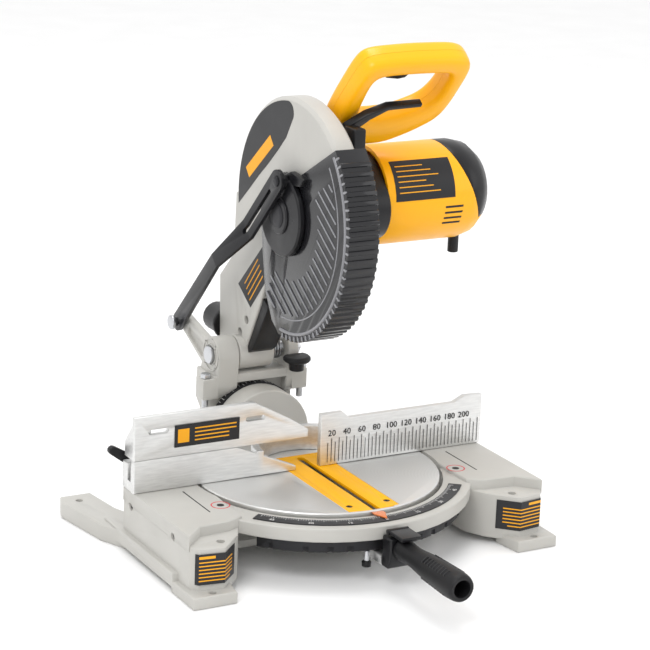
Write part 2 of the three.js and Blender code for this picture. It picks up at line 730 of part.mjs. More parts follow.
function headCasting() {
  const shell = polygon([
    ...arc(UPPER_OUTER, REAR_ANGLE, FRONT_ANGLE, 26, ARBOR_Y, ARBOR_Z), [ARBOR_Y, ARBOR_Z - 34],
  ]);
  const cavity = rodX(UPPER_INNER, -11, 11, ARBOR_Y, ARBOR_Z, 48);
  const body = join(
    alongX(shell, -ARM_HALF, ARM_HALF - 2, 4),
    alongX(circle(40, 24, ARBOR_Y, ARBOR_Z), -ARM_HALF, ARM_HALF),
    alongX(polygon(ARM), -ARM_HALF, ARM_HALF, CHAMFER),
    rodX(BOSS_RADIUS, -23, 23, PIVOT_Y, PIVOT_Z, 24, CHAMFER),
  );
  return cut(
    body,
    cavity,
    alongX(polygon(CHUTE), -CHUTE_HALF, CHUTE_HALF),
    rodX(PIN_RADIUS + CLEAR, -40, 40, PIVOT_Y, PIVOT_Z),
    rodX(31, -20, 0, ARBOR_Y, ARBOR_Z, 24),
    rodX(12, 0, 20, ARBOR_Y, ARBOR_Z, 20),
    rodY(SPOUT_NECK + CLEAR, 200, 240, 0, SPOUT_Z, 20),
    ...ARM_HOLES.map(([y, z]) => rodX(5.5, -ARM_HALF - 5, -ARM_HALF + 5, y, z, 10)),
  );
}

// A black chute behind the blade that takes the dust into the arm.
const DUST_CHUTE = lift([
  [149.6, 2], [149.6, 10], [117.6, 70], [103, 101], [97, 93], [102, 67], [126, 27], [137, 10],
], PIVOT_Z);

function dustChute() {
  return cut(
    alongX(polygon(DUST_CHUTE), -13, 20, 0.8),
    rodX(UPPER_INNER + 3, -30, 30, ARBOR_Y, ARBOR_Z, 48),
    rodX(BOSS_RADIUS + CLEAR, -30, 30, PIVOT_Y, PIVOT_Z, 24),
    rodX(UPPER_OUTER + 3, 15, 30, ARBOR_Y, ARBOR_Z, 48),
  );
}

function dustSpout() {
  return cut(
    join(
      rodY(18, SPOUT_FLANGE, 262, 0, SPOUT_Z, 20, 1),
      rodY(SPOUT_NECK, 215, SPOUT_FLANGE + 1, 0, SPOUT_Z, 20),
      rodY(21, SPOUT_FLANGE, SPOUT_FLANGE + 6, 0, SPOUT_Z, 20, 1),
    ),
    rodY(12.5, 200, 270, 0, SPOUT_Z, 20),
  );
}

function gearCase() {
  const outer = belt(ARBOR_Y, ARBOR_Z, 37, MOTOR_Y, MOTOR_Z, 53, 14);
  const inner = belt(ARBOR_Y, ARBOR_Z, 31, MOTOR_Y, MOTOR_Z, 47, 14);
  return cut(
    join(
      alongX(outer, 19, MOTOR_START - CLEAR, 1.5),
      rodX(30, 15 + CLEAR, 20, ARBOR_Y, ARBOR_Z, 24),
    ),
    alongX(inner, 27, MOTOR_START + 1),
    rodX(10.6, 0, 40, ARBOR_Y, ARBOR_Z),
    rodY(LOCK_BUTTON + CLEAR, 60, 160, LOCK_BUTTON_X, LOCK_BUTTON_Z, 16),
  );
}

function spindleLock() {
  const face = MOTOR_Y + 53;
  return join(
    rodY(LOCK_BUTTON, face - 12, face + 5, LOCK_BUTTON_X, LOCK_BUTTON_Z, 16),
    rodY(7.5, face + 4, face + 9, LOCK_BUTTON_X, LOCK_BUTTON_Z, 16, 1),
  );
}

// The motor's shell, with its end dished; the cap and the housing are cut from it.
function motorShell(start) {
  const end = MOTOR_END;
  const r = MOTOR_RADIUS;
  const w = MOTOR_WALL;
  return turnedX(
    [
      [end - w, 0], [end - w, r - 41], [end - 2 - w, r - 32], [end - 12, r - 22],
      [end - 24, r - 10], [end - 38, r - w], [start, r - w], [start, r], [end - 38, r],
      [end - 22, r - 4], [end - 9, r - 15], [end - 2, r - 28], [end, r - 38], [end, 0],
    ],
    MOTOR_Y,
    MOTOR_Z,
    32,
  );
}

function capRegion(gap) {
  const seam = polygon([
    [188 + gap, MOTOR_Z + 70], [228 + gap, MOTOR_Z - 26 + gap],
    [MOTOR_END + 9, MOTOR_Z - 26 + gap], [MOTOR_END + 9, MOTOR_Z + 70],
  ]);
  return alongY(seam, MOTOR_Y - 70, MOTOR_Y + 70);
}

function motorHousing() {
  const glandHole = rodZ(GLAND_RADIUS + CLEAR, MOTOR_Z - 72, MOTOR_Z, CORD_X, MOTOR_Y, 20);
  return cut(motorShell(MOTOR_START), capRegion(0), glandHole);
}

function motorEndCap() {
  return motorShell(MOTOR_START).intersect(capRegion(CLEAR));
}

// The rubber sleeve that the supply cord comes out of, in the motor's underside.
function cordGland() {
  const top = MOTOR_Z - 34;
  return cut(
    join(
      rodZ(GLAND_RADIUS, top - 18, top, CORD_X, MOTOR_Y, 20, 0.8),
      rodZ(6.5, top - 46, top - 17, CORD_X, MOTOR_Y, 20, 0.8),
    ),
    rodZ(GLAND_BORE, top - 50, top - 8, CORD_X, MOTOR_Y, 12),
  );
}

function motorStator() {
  return cut(
    rodX(MOTOR_RADIUS - MOTOR_WALL - 1, 118, 172, MOTOR_Y, MOTOR_Z, 24),
    rodX(30, 117, 173, MOTOR_Y, MOTOR_Z, 24),
  );
}

function armature() {
  return join(
    rodX(6, 82, 236, MOTOR_Y, MOTOR_Z, 12),
    rodX(PINION_RADIUS, 58, 83, MOTOR_Y, MOTOR_Z, 24),
    rodX(44, 103, 111, MOTOR_Y, MOTOR_Z, 24),
    rodX(28.5, 120, 170, MOTOR_Y, MOTOR_Z, 24),
    rodX(15, 186, 204, MOTOR_Y, MOTOR_Z, 24),
  );
}

function carbonBrush(sign) {
  const near = MOTOR_Y + sign * (15 + CLEAR);
  const far = MOTOR_Y + sign * 40;
  return box(190, 201, Math.min(near, far), Math.max(near, far), MOTOR_Z - 4, MOTOR_Z + 4);
}

// The D handle lies in a plane that leans forward: u runs along X, v up the plane.
const HANDLE_ROOT = new THREE.Vector3(0, ARBOR_Y - 5, ARBOR_Z + 98);
const HANDLE_LEAN = THREE.MathUtils.degToRad(127.4);
const HANDLE_OUTLINE = [
  [21, -10], [60, -19], [98, -19], [128, -4], [154, 16], [164, 36], [169, 102], [163, 116],
  [146, 122], [90, 124], [38, 121], [27, 110], [20, 40],
];
const HANDLE_OPENING = [
  [62, 21], [102, 23], [134, 37], [145, 56], [147, 90], [138, 98], [96, 99], [54, 98], [45, 88],
  [46, 38],
];

const HANDLE_UP = new THREE.Vector3(0, Math.cos(HANDLE_LEAN), Math.sin(HANDLE_LEAN));
const HANDLE_OUT = new THREE.Vector3().crossVectors(AXIS.x, HANDLE_UP);

function inHandlePlane(shape, w0, w1, chamfer = 0) {
  const plane = new THREE.Matrix4().makeBasis(AXIS.x, HANDLE_UP, HANDLE_OUT);
  const start = HANDLE_ROOT.clone().addScaledVector(HANDLE_OUT, w0);
  return extruded(shape, w0, w1, chamfer, plane, start.toArray());
}

function handleShell(w0, w1) {
  const ring = cut(
    inHandlePlane(polygon(HANDLE_OUTLINE), w0, w1, 5),
    inHandlePlane(polygon(HANDLE_OPENING), w0 - 1, w1 + 1),
  );
  return cut(ring, inHandlePlane(polygon(TRIGGER_POCKET), -TRIGGER_HALF - 1.5, TRIGGER_HALF + 1.5));
}

const TRIGGER_POCKET = [[58, 88], [96, 88], [96, 117], [58, 117]];
const TRIGGER = [[59.5, 93], [66, 88], [82, 85], [91, 87], [94.5, 93], [94.5, 109], [59.5, 109]];

function trigger() {
  return inHandlePlane(polygon(TRIGGER), -TRIGGER_HALF, TRIGGER_HALF, 1.5);
}

function releaseLever() {
  const arm = polygon([
    [24, 26], [34, 22], [52, 46], [70, 60], [112, 62], [112, 67], [68, 66], [44, 54], [24, 34],
  ]);
  return inHandlePlane(arm, HANDLE_THICKNESS / 2 + 4, HANDLE_THICKNESS / 2 + 14, 1.2);
}

function leverBracket() {
  return box(19.5, 34, -30, -6, ARBOR_Z + 86, ARBOR_Z + 112, 1.5);
}

// ---------- blade ----------
function sawBlade() {
  const points = [];
  const pitch = 360 / BLADE_TEETH;
  for (let i = 0; i < BLADE_TEETH; i++) {
    for (const [share, r] of [[0, 0], [0.2, -2], [0.55, -8]]) {
      points.push(polar(BLADE_RADIUS + r, (i + share) * pitch));
    }
  }
  const half = BLADE_THICKNESS / 2;
  return cut(alongX(polygon(points), -half, half), rodX(ARBOR_RADIUS + CLEAR, -9, 9, 0, 0, 16));
}

function arborShaft() {
  return join(
    rodX(ARBOR_RADIUS, -BLADE_THICKNESS / 2 - 3, 30, 0, 0),
    rodX(10, BLADE_THICKNESS / 2 + 9, 88, 0, 0),
  );
}

function bladeFlange(sign) {
  const near = sign * (BLADE_THICKNESS / 2 + CLEAR);
  const far = sign * (BLADE_THICKNESS / 2 + 5);
  return cut(
    rodX(22, Math.min(near, far), Math.max(near, far), 0, 0, 24),
    rodX(ARBOR_RADIUS + CLEAR, -20, 20, 0, 0),
  );
}

function bladeBolt() {
  const seat = -(BLADE_THICKNESS / 2 + 5 + CLEAR);
  return join(
    rodX(12, seat - 2.5, seat, 0, 0, 16),
    rodX(7.5, seat - 8, seat - 2, 0, 0, 6),
  );
}

function driveGear() {
  return cut(rodX(GEAR_RADIUS, 60, 76, 0, 0, 28), rodX(10 + CLEAR, 50, 90, 0, 0));
}

// ---------- lower guard ----------
const GUARD_FRONT = 138; // ends of the moving guard's rim, round the blade's axis
const GUARD_REAR = 274;
const GUARD_LEFT = -20;
const GUARD_RIGHT = 18;
const FIN_RISE = 1.8;

function lowerGuard() {
  const pitch = 360 / GUARD_FINS;
  const first = Math.ceil(GUARD_FRONT / pitch) + 1;
  const last = Math.floor(GUARD_REAR / pitch) - 1;
  const fins = [];
  for (let i = first; i <= last; i++) {
    for (const [share, rise] of [[-0.28, 0], [-0.2, FIN_RISE], [0.2, FIN_RISE], [0.28, 0]]) {
      fins.push(polar(GUARD_OUTER + rise, (i + share) * pitch));
    }
  }
  const rim = polygon([
    polar(GUARD_OUTER, GUARD_FRONT),
    ...fins,
    polar(GUARD_OUTER, GUARD_REAR),
    ...arc(GUARD_INNER, GUARD_REAR, GUARD_FRONT, 26),
  ]);
  const face = polygon([
    ...arc(GUARD_OUTER - 0.5, GUARD_FRONT, GUARD_REAR, 30),
    [27, -132], [46, -100], [60, -30], [61, 9], [44, 34], [8, 48], [-20, 46],
  ]);
  const cheek = ringSector(112, GUARD_OUTER - 0.5, GUARD_FRONT + 4, GUARD_REAR - 4, 24);
  return cut(
    join(
      alongX(rim, GUARD_LEFT, GUARD_RIGHT),
      alongX(face, GUARD_LEFT, GUARD_LEFT + 3.4),
      alongX(cheek, GUARD_RIGHT - 2, GUARD_RIGHT),
    ),
    rodX(20, GUARD_LEFT - 1, 0, 0, 0, 20),
  );
}

function guardHubCover() {
  const pin = [LINK_TOP_Y - ARBOR_Y, LINK_TOP_Z - ARBOR_Z];
  return join(
    rodX(48, -29, GUARD_LEFT - CLEAR, 0, 0, 32, 2),
    rodX(22, -32, -28, 0, 0, 20, 1.5),
    rodX(7, -34, -28, pin[0], pin[1], 14),
  );
}

// The link's bar steps sideways near its lower end; u is X, v runs up the bar.
function guardLink() {
  const length = Math.hypot(LINK_TOP_Y - LUG_Y, LINK_TOP_Z - LUG_Z);
  const lean = Math.atan2(LINK_TOP_Z - LUG_Z, LINK_TOP_Y - LUG_Y);
  const t = LINK_THICKNESS;
  const [stepStart, stepEnd] = LINK_STEP;
  const profile = polygon([
    [LINK_FAR, -14], [LINK_FAR, stepStart], [LINK_NEAR, stepEnd], [LINK_NEAR, length + 14],
    [LINK_NEAR - t, length + 14], [LINK_NEAR - t, stepEnd + 1], [LINK_FAR - t, stepStart + 1],
    [LINK_FAR - t, -14],
  ]);
  const outline = polygon([
    ...arc(11, 180, 360, 10), [9, stepStart], [13, stepEnd], ...arc(13, 0, 180, 12, 0, length),
    [-13, stepEnd], [-9, stepStart],
  ]);
  const up = new THREE.Vector3(0, Math.cos(lean), Math.sin(lean));
  const across = new THREE.Vector3().crossVectors(AXIS.x, up);
  const side = new THREE.Matrix4().makeBasis(AXIS.x, up, across);
  const front = new THREE.Matrix4().makeBasis(across, up, AXIS.x.clone().negate());
  const bar = extruded(profile, -20, 20, 0, side, across.clone().multiplyScalar(-20).toArray());
  const face = extruded(outline, -90, 0, 0, front, [0, 0, 0]);
  const slot = extruded(
    polygon([...arc(3.2, 180, 360, 6, 0, stepEnd - 4), ...arc(3.2, 0, 180, 6, 0, length - 22)]),
    -90,
    0,
    0,
    front,
    [0, 0, 0],
  );
  return cut(bar.intersect(face), slot, rodX(LINK_BOLT + CLEAR, -90, 0, 0, 0, 16));
}

function placed(mesh, x, y, z) {
  mesh.position.set(x, y, z);
  return mesh;
}

function group(...children) {
  const g = new THREE.Group();
  g.add(...children);
  return g;
}

const base = group(
  part("base_casting", baseCasting(), CAST),
  part("miter_scale", scaleBand(), DARK_STEEL),
  part("detent_plate", detentPlate(), DARK_STEEL),
  part("table_pivot_bolt", tablePivotBolt(), STEEL),
  part("fixed_fence", fixedFence(), MACHINED),
  part("sliding_fence", slidingFence(), MACHINED),
  part("fence_clamp_lever", fenceClampLever(), BLACK),
  ...FENCE_BOLTS.map((_, i) => fenceBolt(i)),
);
const table = group(
  part("turntable", turntable(), MACHINED),
  part("kerf_plate", kerfPlate(), YELLOW),
  ...KERF_SCREWS.map((_, i) => kerfScrew(i)),
  part("bevel_housing", bevelHousing(), CAST),
  part("bevel_scale", bevelScale(), DARK_STEEL),
  part("miter_pointer", miterPointer(), BLACK),
  part("miter_bracket", miterBracket(), BLACK),
  part("miter_handle", miterHandle(), BLACK),
  part("miter_lock_rod", miterLockRod(), STEEL),
  part("miter_latch", miterLatch(), BLACK),
);
const tilt = group(
  part("trunnion", trunnion(), CAST),
  part("chop_pivot_pin", chopPivotPin(), STEEL),
  part("return_spring", returnSpring(), STEEL),
  part("bevel_stop_bolt_left", stopBolt(-STOP_X), STEEL),
  part("bevel_stop_bolt_right", stopBolt(STOP_X), STEEL),
  part("head_bumper", headBumper(), BLACK),
  part("link_pivot_bolt", linkPivotBolt(), STEEL),
  part("bevel_clamp_lever", bevelClampLever(), BLACK),
  part("lockdown_pin", lockdownPin(), STEEL),
);
const blade = placed(
  group(
    part("saw_blade", sawBlade(), STEEL),
    part("arbor_shaft", arborShaft(), STEEL),
    part("blade_flange_outer", bladeFlange(-1), STEEL),
    part("blade_flange_inner", bladeFlange(1), STEEL),
    part("blade_bolt", bladeBolt(), DARK_STEEL),
    part("drive_gear", driveGear(), STEEL),
    part("lower_guard", lowerGuard(), SMOKE),
    part("guard_hub_cover", guardHubCover(), BLACK),
  ),
  0,
  ARBOR_Y,
  ARBOR_Z,
);
const head = group(
  part("head_casting", headCasting(), CAST),
  part("dust_chute", dustChute(), BLACK),
  part("dust_spout", dustSpout(), BLACK),
  part("gear_case", gearCase(), BLACK),
  part("spindle_lock", spindleLock(), BLACK),
  part("motor_housing", motorHousing(), YELLOW),
  part("motor_end_cap", motorEndCap(), DARK_STEEL),
  part("cord_gland", cordGland(), BLACK),
  part("motor_stator", motorStator(), COPPER),
  part("armature", armature(), COPPER),
  part("carbon_brush_front", carbonBrush(-1), BLACK),
  part("carbon_brush_rear", carbonBrush(1), BLACK),
  part("handle_front_shell", handleShell(CLEAR / 2, HANDLE_THICKNESS / 2), YELLOW),
  part("handle_rear_shell", handleShell(-HANDLE_THICKNESS / 2, -CLEAR / 2), YELLOW),
  part("trigger", trigger(), BLACK),
  part("guard_release_lever", releaseLever(), BLACK),
  part("lever_bracket", leverBracket(), BLACK),
);
const link = placed(part("guard_link", guardLink(), BLACK), 0, LUG_Y, LUG_Z);

const saw = group(base, table, tilt, head, blade, link);
saw.updateMatrixWorld(true);
const bounds = new THREE.Box3().setFromObject(saw, true);
const middle = bounds.getCenter(new THREE.Vector3());
saw.position.set(-middle.x, -middle.y, -bounds.min.z);

const miterSaw = group(saw);
export default miterSaw;
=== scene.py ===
import json
import math

import bmesh
import bpy
from mathutils import Matrix, Vector

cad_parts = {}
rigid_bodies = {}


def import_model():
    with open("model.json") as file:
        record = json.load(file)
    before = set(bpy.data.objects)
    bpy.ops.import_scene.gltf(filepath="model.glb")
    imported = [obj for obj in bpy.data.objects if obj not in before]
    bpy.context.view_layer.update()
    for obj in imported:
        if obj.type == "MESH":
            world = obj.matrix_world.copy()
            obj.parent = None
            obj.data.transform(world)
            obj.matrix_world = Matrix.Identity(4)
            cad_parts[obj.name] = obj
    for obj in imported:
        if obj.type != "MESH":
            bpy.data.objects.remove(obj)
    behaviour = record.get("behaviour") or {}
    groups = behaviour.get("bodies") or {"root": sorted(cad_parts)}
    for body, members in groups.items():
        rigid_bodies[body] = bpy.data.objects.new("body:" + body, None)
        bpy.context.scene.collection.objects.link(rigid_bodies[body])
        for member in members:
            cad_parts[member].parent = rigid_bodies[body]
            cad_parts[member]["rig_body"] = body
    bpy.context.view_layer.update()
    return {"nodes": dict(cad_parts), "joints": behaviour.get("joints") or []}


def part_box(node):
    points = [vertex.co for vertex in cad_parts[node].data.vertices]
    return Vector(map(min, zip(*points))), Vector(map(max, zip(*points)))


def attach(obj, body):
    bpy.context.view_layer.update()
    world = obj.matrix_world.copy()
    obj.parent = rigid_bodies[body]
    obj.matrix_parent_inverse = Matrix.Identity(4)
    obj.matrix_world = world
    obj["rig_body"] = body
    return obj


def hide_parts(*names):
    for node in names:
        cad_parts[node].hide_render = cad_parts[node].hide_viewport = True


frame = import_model()
NODES = frame["nodes"]
JOINTS = {joint["name"]: joint for joint in frame["joints"]}

FENCE_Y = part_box("fixed_fence")[0].y
TO_ROW = Matrix.Translation((0, FENCE_Y, 0)) @ Matrix.Scale(0.001, 4)
TO_SAW = TO_ROW.inverted()


def saw_box(node):
    low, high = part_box(node)
    return TO_SAW @ low, TO_SAW @ high


def saw_point(joint):
    return TO_SAW @ Vector(JOINTS[joint]["pos_m"])


TABLE = saw_box("turntable")[1].z
ARBOR = saw_point("blade_spin")
MITER = saw_point("miter")
CHOP = saw_point("chop")
MOTOR = saw_point("armature_spin")


# ---------- materials ----------
def new_material(name, color, roughness, metallic=0.0):
    material = bpy.data.materials.new(name)
    material.use_nodes = True
    bsdf = material.node_tree.nodes["Principled BSDF"]
    bsdf.inputs["Specular IOR Level"].default_value = 0.32
    bsdf.inputs["Base Color"].default_value = (*color, 1)
    bsdf.inputs["Roughness"].default_value = roughness
    bsdf.inputs["Metallic"].default_value = metallic
    return material


def add_node(material, kind):
    return material.node_tree.nodes.new(kind)


def link(material, source, output, target, entry):
    material.node_tree.links.new(source.outputs[output], target.inputs[entry])


def place(material, offset=(0, 0, 0), scale=(1, 1, 1)):
    """Object coordinates, shifted and stretched, for the textures below."""
    coordinates = add_node(material, "ShaderNodeTexCoord")
    mapping = add_node(material, "ShaderNodeMapping")
    mapping.inputs["Location"].default_value = offset
    mapping.inputs["Scale"].default_value = scale
    link(material, coordinates, "Object", mapping, "Vector")
    return mapping


def noise(material, mapping, scale, detail=4.0):
    node = add_node(material, "ShaderNodeTexNoise")
    node.inputs["Scale"].default_value = scale
    node.inputs["Detail"].default_value = detail
    link(material, mapping, "Vector", node, "Vector")
    return node


def tint(material, source, output, dark, light, low=0.35, high=0.65):
    """Colours the surface between two shades by a texture."""
    ramp = add_node(material, "ShaderNodeValToRGB")
    ramp.color_ramp.elements[0].position = low
    ramp.color_ramp.elements[0].color = (*dark, 1)
    ramp.color_ramp.elements[1].position = high
    ramp.color_ramp.elements[1].color = (*light, 1)
    bsdf = material.node_tree.nodes["Principled BSDF"]
    link(material, source, output, ramp, "Fac")
    link(material, ramp, "Color", bsdf, "Base Color")


def roughen(material, source, output, low, high):
    spread = add_node(material, "ShaderNodeMapRange")
    spread.inputs["To Min"].default_value = low
    spread.inputs["To Max"].default_value = high
    bsdf = material.node_tree.nodes["Principled BSDF"]
    link(material, source, output, spread, "Value")
    link(material, spread, "Result", bsdf, "Roughness")


def emboss(material, source, output, strength, distance):
    bump = add_node(material, "ShaderNodeBump")
    bump.inputs["Strength"].default_value = strength
    bump.inputs["Distance"].default_value = distance
    bsdf = material.node_tree.nodes["Principled BSDF"]
    link(material, source, output, bump, "Height")
    link(material, bump, "Normal", bsdf, "Normal")


def shade(color, factor):
    return tuple(min(1.0, channel * factor) for channel in color)


def moulded(name, color, rough, spread=0.06, grain=1400, strength=0.25, metallic=0.0):
    """Paint or plastic: slow colour drift, uneven gloss and a fine grain."""
    material = new_material(name, color, rough, metallic)
    mapping = place(material)
    drift = noise(material, mapping, 9, 5)
    tint(material, drift, "Fac", shade(color, 1 - spread), shade(color, 1 + spread))
    patches = noise(material, mapping, 42, 6)
    roughen(material, patches, "Fac", max(0.05, rough - 0.09), rough + 0.09)
    fine = noise(material, mapping, grain, 2)
    emboss(material, fine, "Fac", strength, 0.00012)
    return material


def milled(name, color, rough, scale=(1, 1, 1), lines=700, strength=0.35):
    """Bare metal cut in one direction: scale stretches the noise into tool marks."""
    material = new_material(name, color, rough, 1.0)
    mapping = place(material, scale=scale)
    marks = noise(material, mapping, lines, 3)
    tint(material, marks, "Fac", shade(color, 0.9), shade(color, 1.06), 0.3, 0.7)
    roughen(material, marks, "Fac", rough - 0.08, rough + 0.1)
    emboss(material, marks, "Fac", strength, 0.00008)
    return material


def turned(name, color, rough, centre, axis, lines):
    """Bare metal faced on a lathe: rings round a centre, seen along the axis."""
    material = new_material(name, color, rough, 1.0)
    row = TO_ROW @ Vector(centre)
    mapping = place(material, offset=tuple(-row))
    rings = add_node(material, "ShaderNodeTexWave")
    rings.wave_type = "RINGS"
    rings.rings_direction = axis
    rings.inputs["Scale"].default_value = lines
    rings.inputs["Distortion"].default_value = 0.6
    rings.inputs["Detail"].default_value = 2.0
    link(material, mapping, "Vector", rings, "Vector")
    tint(material, rings, "Fac", shade(color, 0.88), shade(color, 1.05), 0.2, 0.8)
    smears = noise(material, mapping, 24, 5)
    roughen(material, smears, "Fac", rough - 0.07, rough + 0.12)
    emboss(material, rings, "Fac", 0.22, 0.00006)
    return material


def smoked(name, color, rough, transmission):
    material = moulded(name, color, rough, spread=0.12, grain=500, strength=0.08)
    bsdf = material.node_tree.nodes["Principled BSDF"]
    bsdf.inputs["Transmission Weight"].default_value = transmission
    bsdf.inputs["IOR"].default_value = 1.46
    bsdf.inputs["Coat Weight"].default_value = 0.35
    bsdf.inputs["Coat Roughness"].default_value = 0.08
    return material


def coated(material, weight, rough):
    bsdf = material.node_tree.nodes["Principled BSDF"]
    bsdf.inputs["Coat Weight"].default_value = weight
    bsdf.inputs["Coat Roughness"].default_value = rough
    return material


CAST = coated(moulded("cast_paint", (0.47, 0.46, 0.43), 0.4, 0.05, 900, 0.35), 0.15, 0.3)
MILLED = turned("milled_table", (0.80, 0.80, 0.79), 0.36, MITER, "Z", 190)
FENCE = milled("milled_fence", (0.74, 0.74, 0.73), 0.46, (0.12, 1, 1), 420, 0.3)
STEEL = turned("bright_steel", (0.58, 0.59, 0.61), 0.3, CHOP, "X", 420)
BLADE = turned("ground_blade", (0.60, 0.61, 0.63), 0.26, ARBOR, "X", 300)
DARK_STEEL = moulded("black_oxide", (0.03, 0.03, 0.033), 0.4, 0.15, 700, 0.2, 0.6)
BLACK = moulded("black_nylon", (0.007, 0.007, 0.008), 0.42, 0.25, 1700, 0.5)
SATIN_BLACK = moulded("black_satin", (0.009, 0.009, 0.0105), 0.3, 0.25, 1200, 0.25)
RUBBER = moulded("black_rubber", (0.007, 0.007, 0.008), 0.5, 0.25, 2200, 0.6)
YELLOW = coated(moulded("yellow_nylon", (0.96, 0.44, 0.0), 0.36, 0.035, 1500, 0.18), 0.12, 0.2)
KERF_YELLOW = moulded("kerf_yellow", (0.96, 0.47, 0.0), 0.45, 0.05, 1600, 0.35)
SMOKE = smoked("smoked_guard", (0.012, 0.012, 0.014), 0.17, 0.08)
# the guard's own smoked plastic, painted much lighter on its ribs and ridges as a painted
# highlight
SMOKE_RIB_HIGHLIGHT = smoked("smoked_rib_painted_highlight", (0.22, 0.22, 0.235), 0.2, 0.05)
COPPER = milled("lacquered_copper", (0.55, 0.24, 0.10), 0.35, (0.2, 1, 1), 900, 0.6)
SPRING = milled("spring_wire", (0.36, 0.37, 0.39), 0.3, (1, 1, 1), 1500, 0.2)
LABEL = moulded("label_film", (0.018, 0.018, 0.02), 0.36, 0.1, 400, 0.05)
# black print; the same black is also painted shade inside the block's side holes
INK_AND_HOLE_SHADE = moulded("black_ink_and_hole_shade", (0.012, 0.012, 0.013), 0.5, 0.1, 900, 0.1)
WHITE_INK = moulded("white_ink", (0.75, 0.75, 0.74), 0.5, 0.05, 900, 0.1)
ORANGE_INK = moulded("orange_ink", (0.86, 0.38, 0.01), 0.45, 0.08, 900, 0.1)
RED_INK = moulded("red_ink", (0.60, 0.05, 0.06), 0.5, 0.1, 900, 0.1)
AMBER = smoked("amber_pointer", (0.9, 0.25, 0.05), 0.2, 0.3)
SHADOW = moulded("recess_shadow", (0.03, 0.03, 0.03), 0.8, 0.1, 600, 0.2)


# ---------- mesh helpers ----------
def add_piece(name, mesh, body, material, replaced=()):
    mesh.materials.clear()
    mesh.materials.append(material)
    piece = bpy.data.objects.new(name, mesh)
    bpy.context.scene.collection.objects.link(piece)
    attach(piece, body)
    if replaced:
        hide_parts(*replaced)


def baked(name, mesh, modifiers):
    """The mesh with its modifiers applied; each is (kind, {setting: value})."""
    maker = bpy.data.objects.new(name + "_maker", mesh)
    bpy.context.scene.collection.objects.link(maker)
    for index, (kind, settings) in enumerate(modifiers):
        modifier = maker.modifiers.new("step_%d" % index, kind)
        for key, value in settings.items():
            setattr(modifier, key, value)
    bpy.context.view_layer.update()
    depsgraph = bpy.context.evaluated_depsgraph_get()
    result = bpy.data.meshes.new_from_object(maker.evaluated_get(depsgraph))
    bpy.data.objects.remove(maker)
    result.name = name
    return result


def rounding(width, segments=2, angle=30):
    return (
        "BEVEL",
        {
            "width": width / 1000,
            "segments": segments,
            "limit_method": "ANGLE",
            "angle_limit": math.radians(angle),
            "use_clamp_overlap": True,
        },
    )


def smooth(mesh, angle=33):
    for polygon in mesh.polygons:
        polygon.use_smooth = True
    mesh.set_sharp_from_angle(angle=math.radians(angle))
    return mesh


def finish_mesh(name, bm, bevel=0.0, segments=2, angle=33):
    """Turns a drawing in saw millimetres into a finished mesh in row metres."""
    bmesh.ops.recalc_face_normals(bm, faces=bm.faces)
    bm.transform(TO_ROW)
    mesh = bpy.data.meshes.new(name)
    bm.to_mesh(mesh)
    bm.free()
    if bevel:
        mesh = baked(name, mesh, [rounding(bevel, segments)])
    return smooth(mesh, angle)


def refined(node, material, width=0.5, segments=2, angle=30):
    """A CAD solid with its edges rounded and its curved walls shaded smooth."""
    mesh = NODES[node].data.copy()
    bm = bmesh.new()
    bm.from_mesh(mesh)
    bmesh.ops.remove_doubles(bm, verts=bm.verts, dist=2e-6)
    bmesh.ops.dissolve_limit(
        bm, angle_limit=math.radians(0.4), verts=bm.verts, edges=bm.edges
    )
    bm.to_mesh(mesh)
    bm.free()
    if width:
        mesh = baked(node + "_finished", mesh, [rounding(width, segments, angle)])
    name = node + "_finished"
    add_piece(name, smooth(mesh), NODES[node]["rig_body"], material, [node])


AXES = {
    "x": Matrix(((0, 0, 1, 0), (1, 0, 0, 0), (0, 1, 0, 0), (0, 0, 0, 1))),
    "y": Matrix(((1, 0, 0, 0), (0, 0, 1, 0), (0, 1, 0, 0), (0, 0, 0, 1))),
    "z": Matrix.Identity(4),
}


def prism(bm, outline, axis, low, high, turn=None):
    """A straight solid on an outline of (u, v): u, v are y, z or x, z or x, y."""
    place_it = (turn or Matrix.Identity(4)) @ AXES[axis]
    rings = [
        [bm.verts.new(place_it @ Vector((u, v, w))) for u, v in outline] for w in (low, high)
    ]
    count = len(outline)
    for i in range(count):
        j = (i + 1) % count
        bm.faces.new((rings[0][i], rings[0][j], rings[1][j], rings[1][i]))
    bm.faces.new(reversed(rings[0]))
    bm.faces.new(rings[1])


def rectangle(u0, v0, u1, v1):
    return [(u0, v0), (u1, v0), (u1, v1), (u0, v1)]


def polar(radius, degrees, u=0.0, v=0.0):
    a = math.radians(degrees)
    return u + radius * math.cos(a), v + radius * math.sin(a)


def arc(radius, start, end, steps, u=0.0, v=0.0):
    return [polar(radius, start + (end - start) * i / steps, u, v) for i in range(steps + 1)]


def band(outer, inner, start, end, steps, u, v):
    """The outline of a stretch of ring between two radii and two angles."""
    return arc(outer, start, end, steps, u, v) + arc(inner, end, start, steps, u, v)


def bar_outline(start, end, width):
    """The outline of a straight bar with round ends between two points."""
    a, b = Vector(start), Vector(end)
    heading = math.degrees(math.atan2(b.y - a.y, b.x - a.x))
    half = width / 2
    return arc(half, heading + 90, heading + 270, 4, a.x, a.y) + arc(
        half, heading - 90, heading + 90, 4, b.x, b.y
    )


RING_SEGMENTS = 40


def flat_ring(bm, outer, inner, axis, low, high, u, v):
    """A flat ring round (u, v), in short straight segments."""
    step = 360 / RING_SEGMENTS
    for i in range(RING_SEGMENTS):
        prism(bm, band(outer, inner, step * i, step * (i + 1), 1, u, v), axis, low, high)
    bmesh.ops.remove_doubles(bm, verts=bm.verts, dist=1e-4)


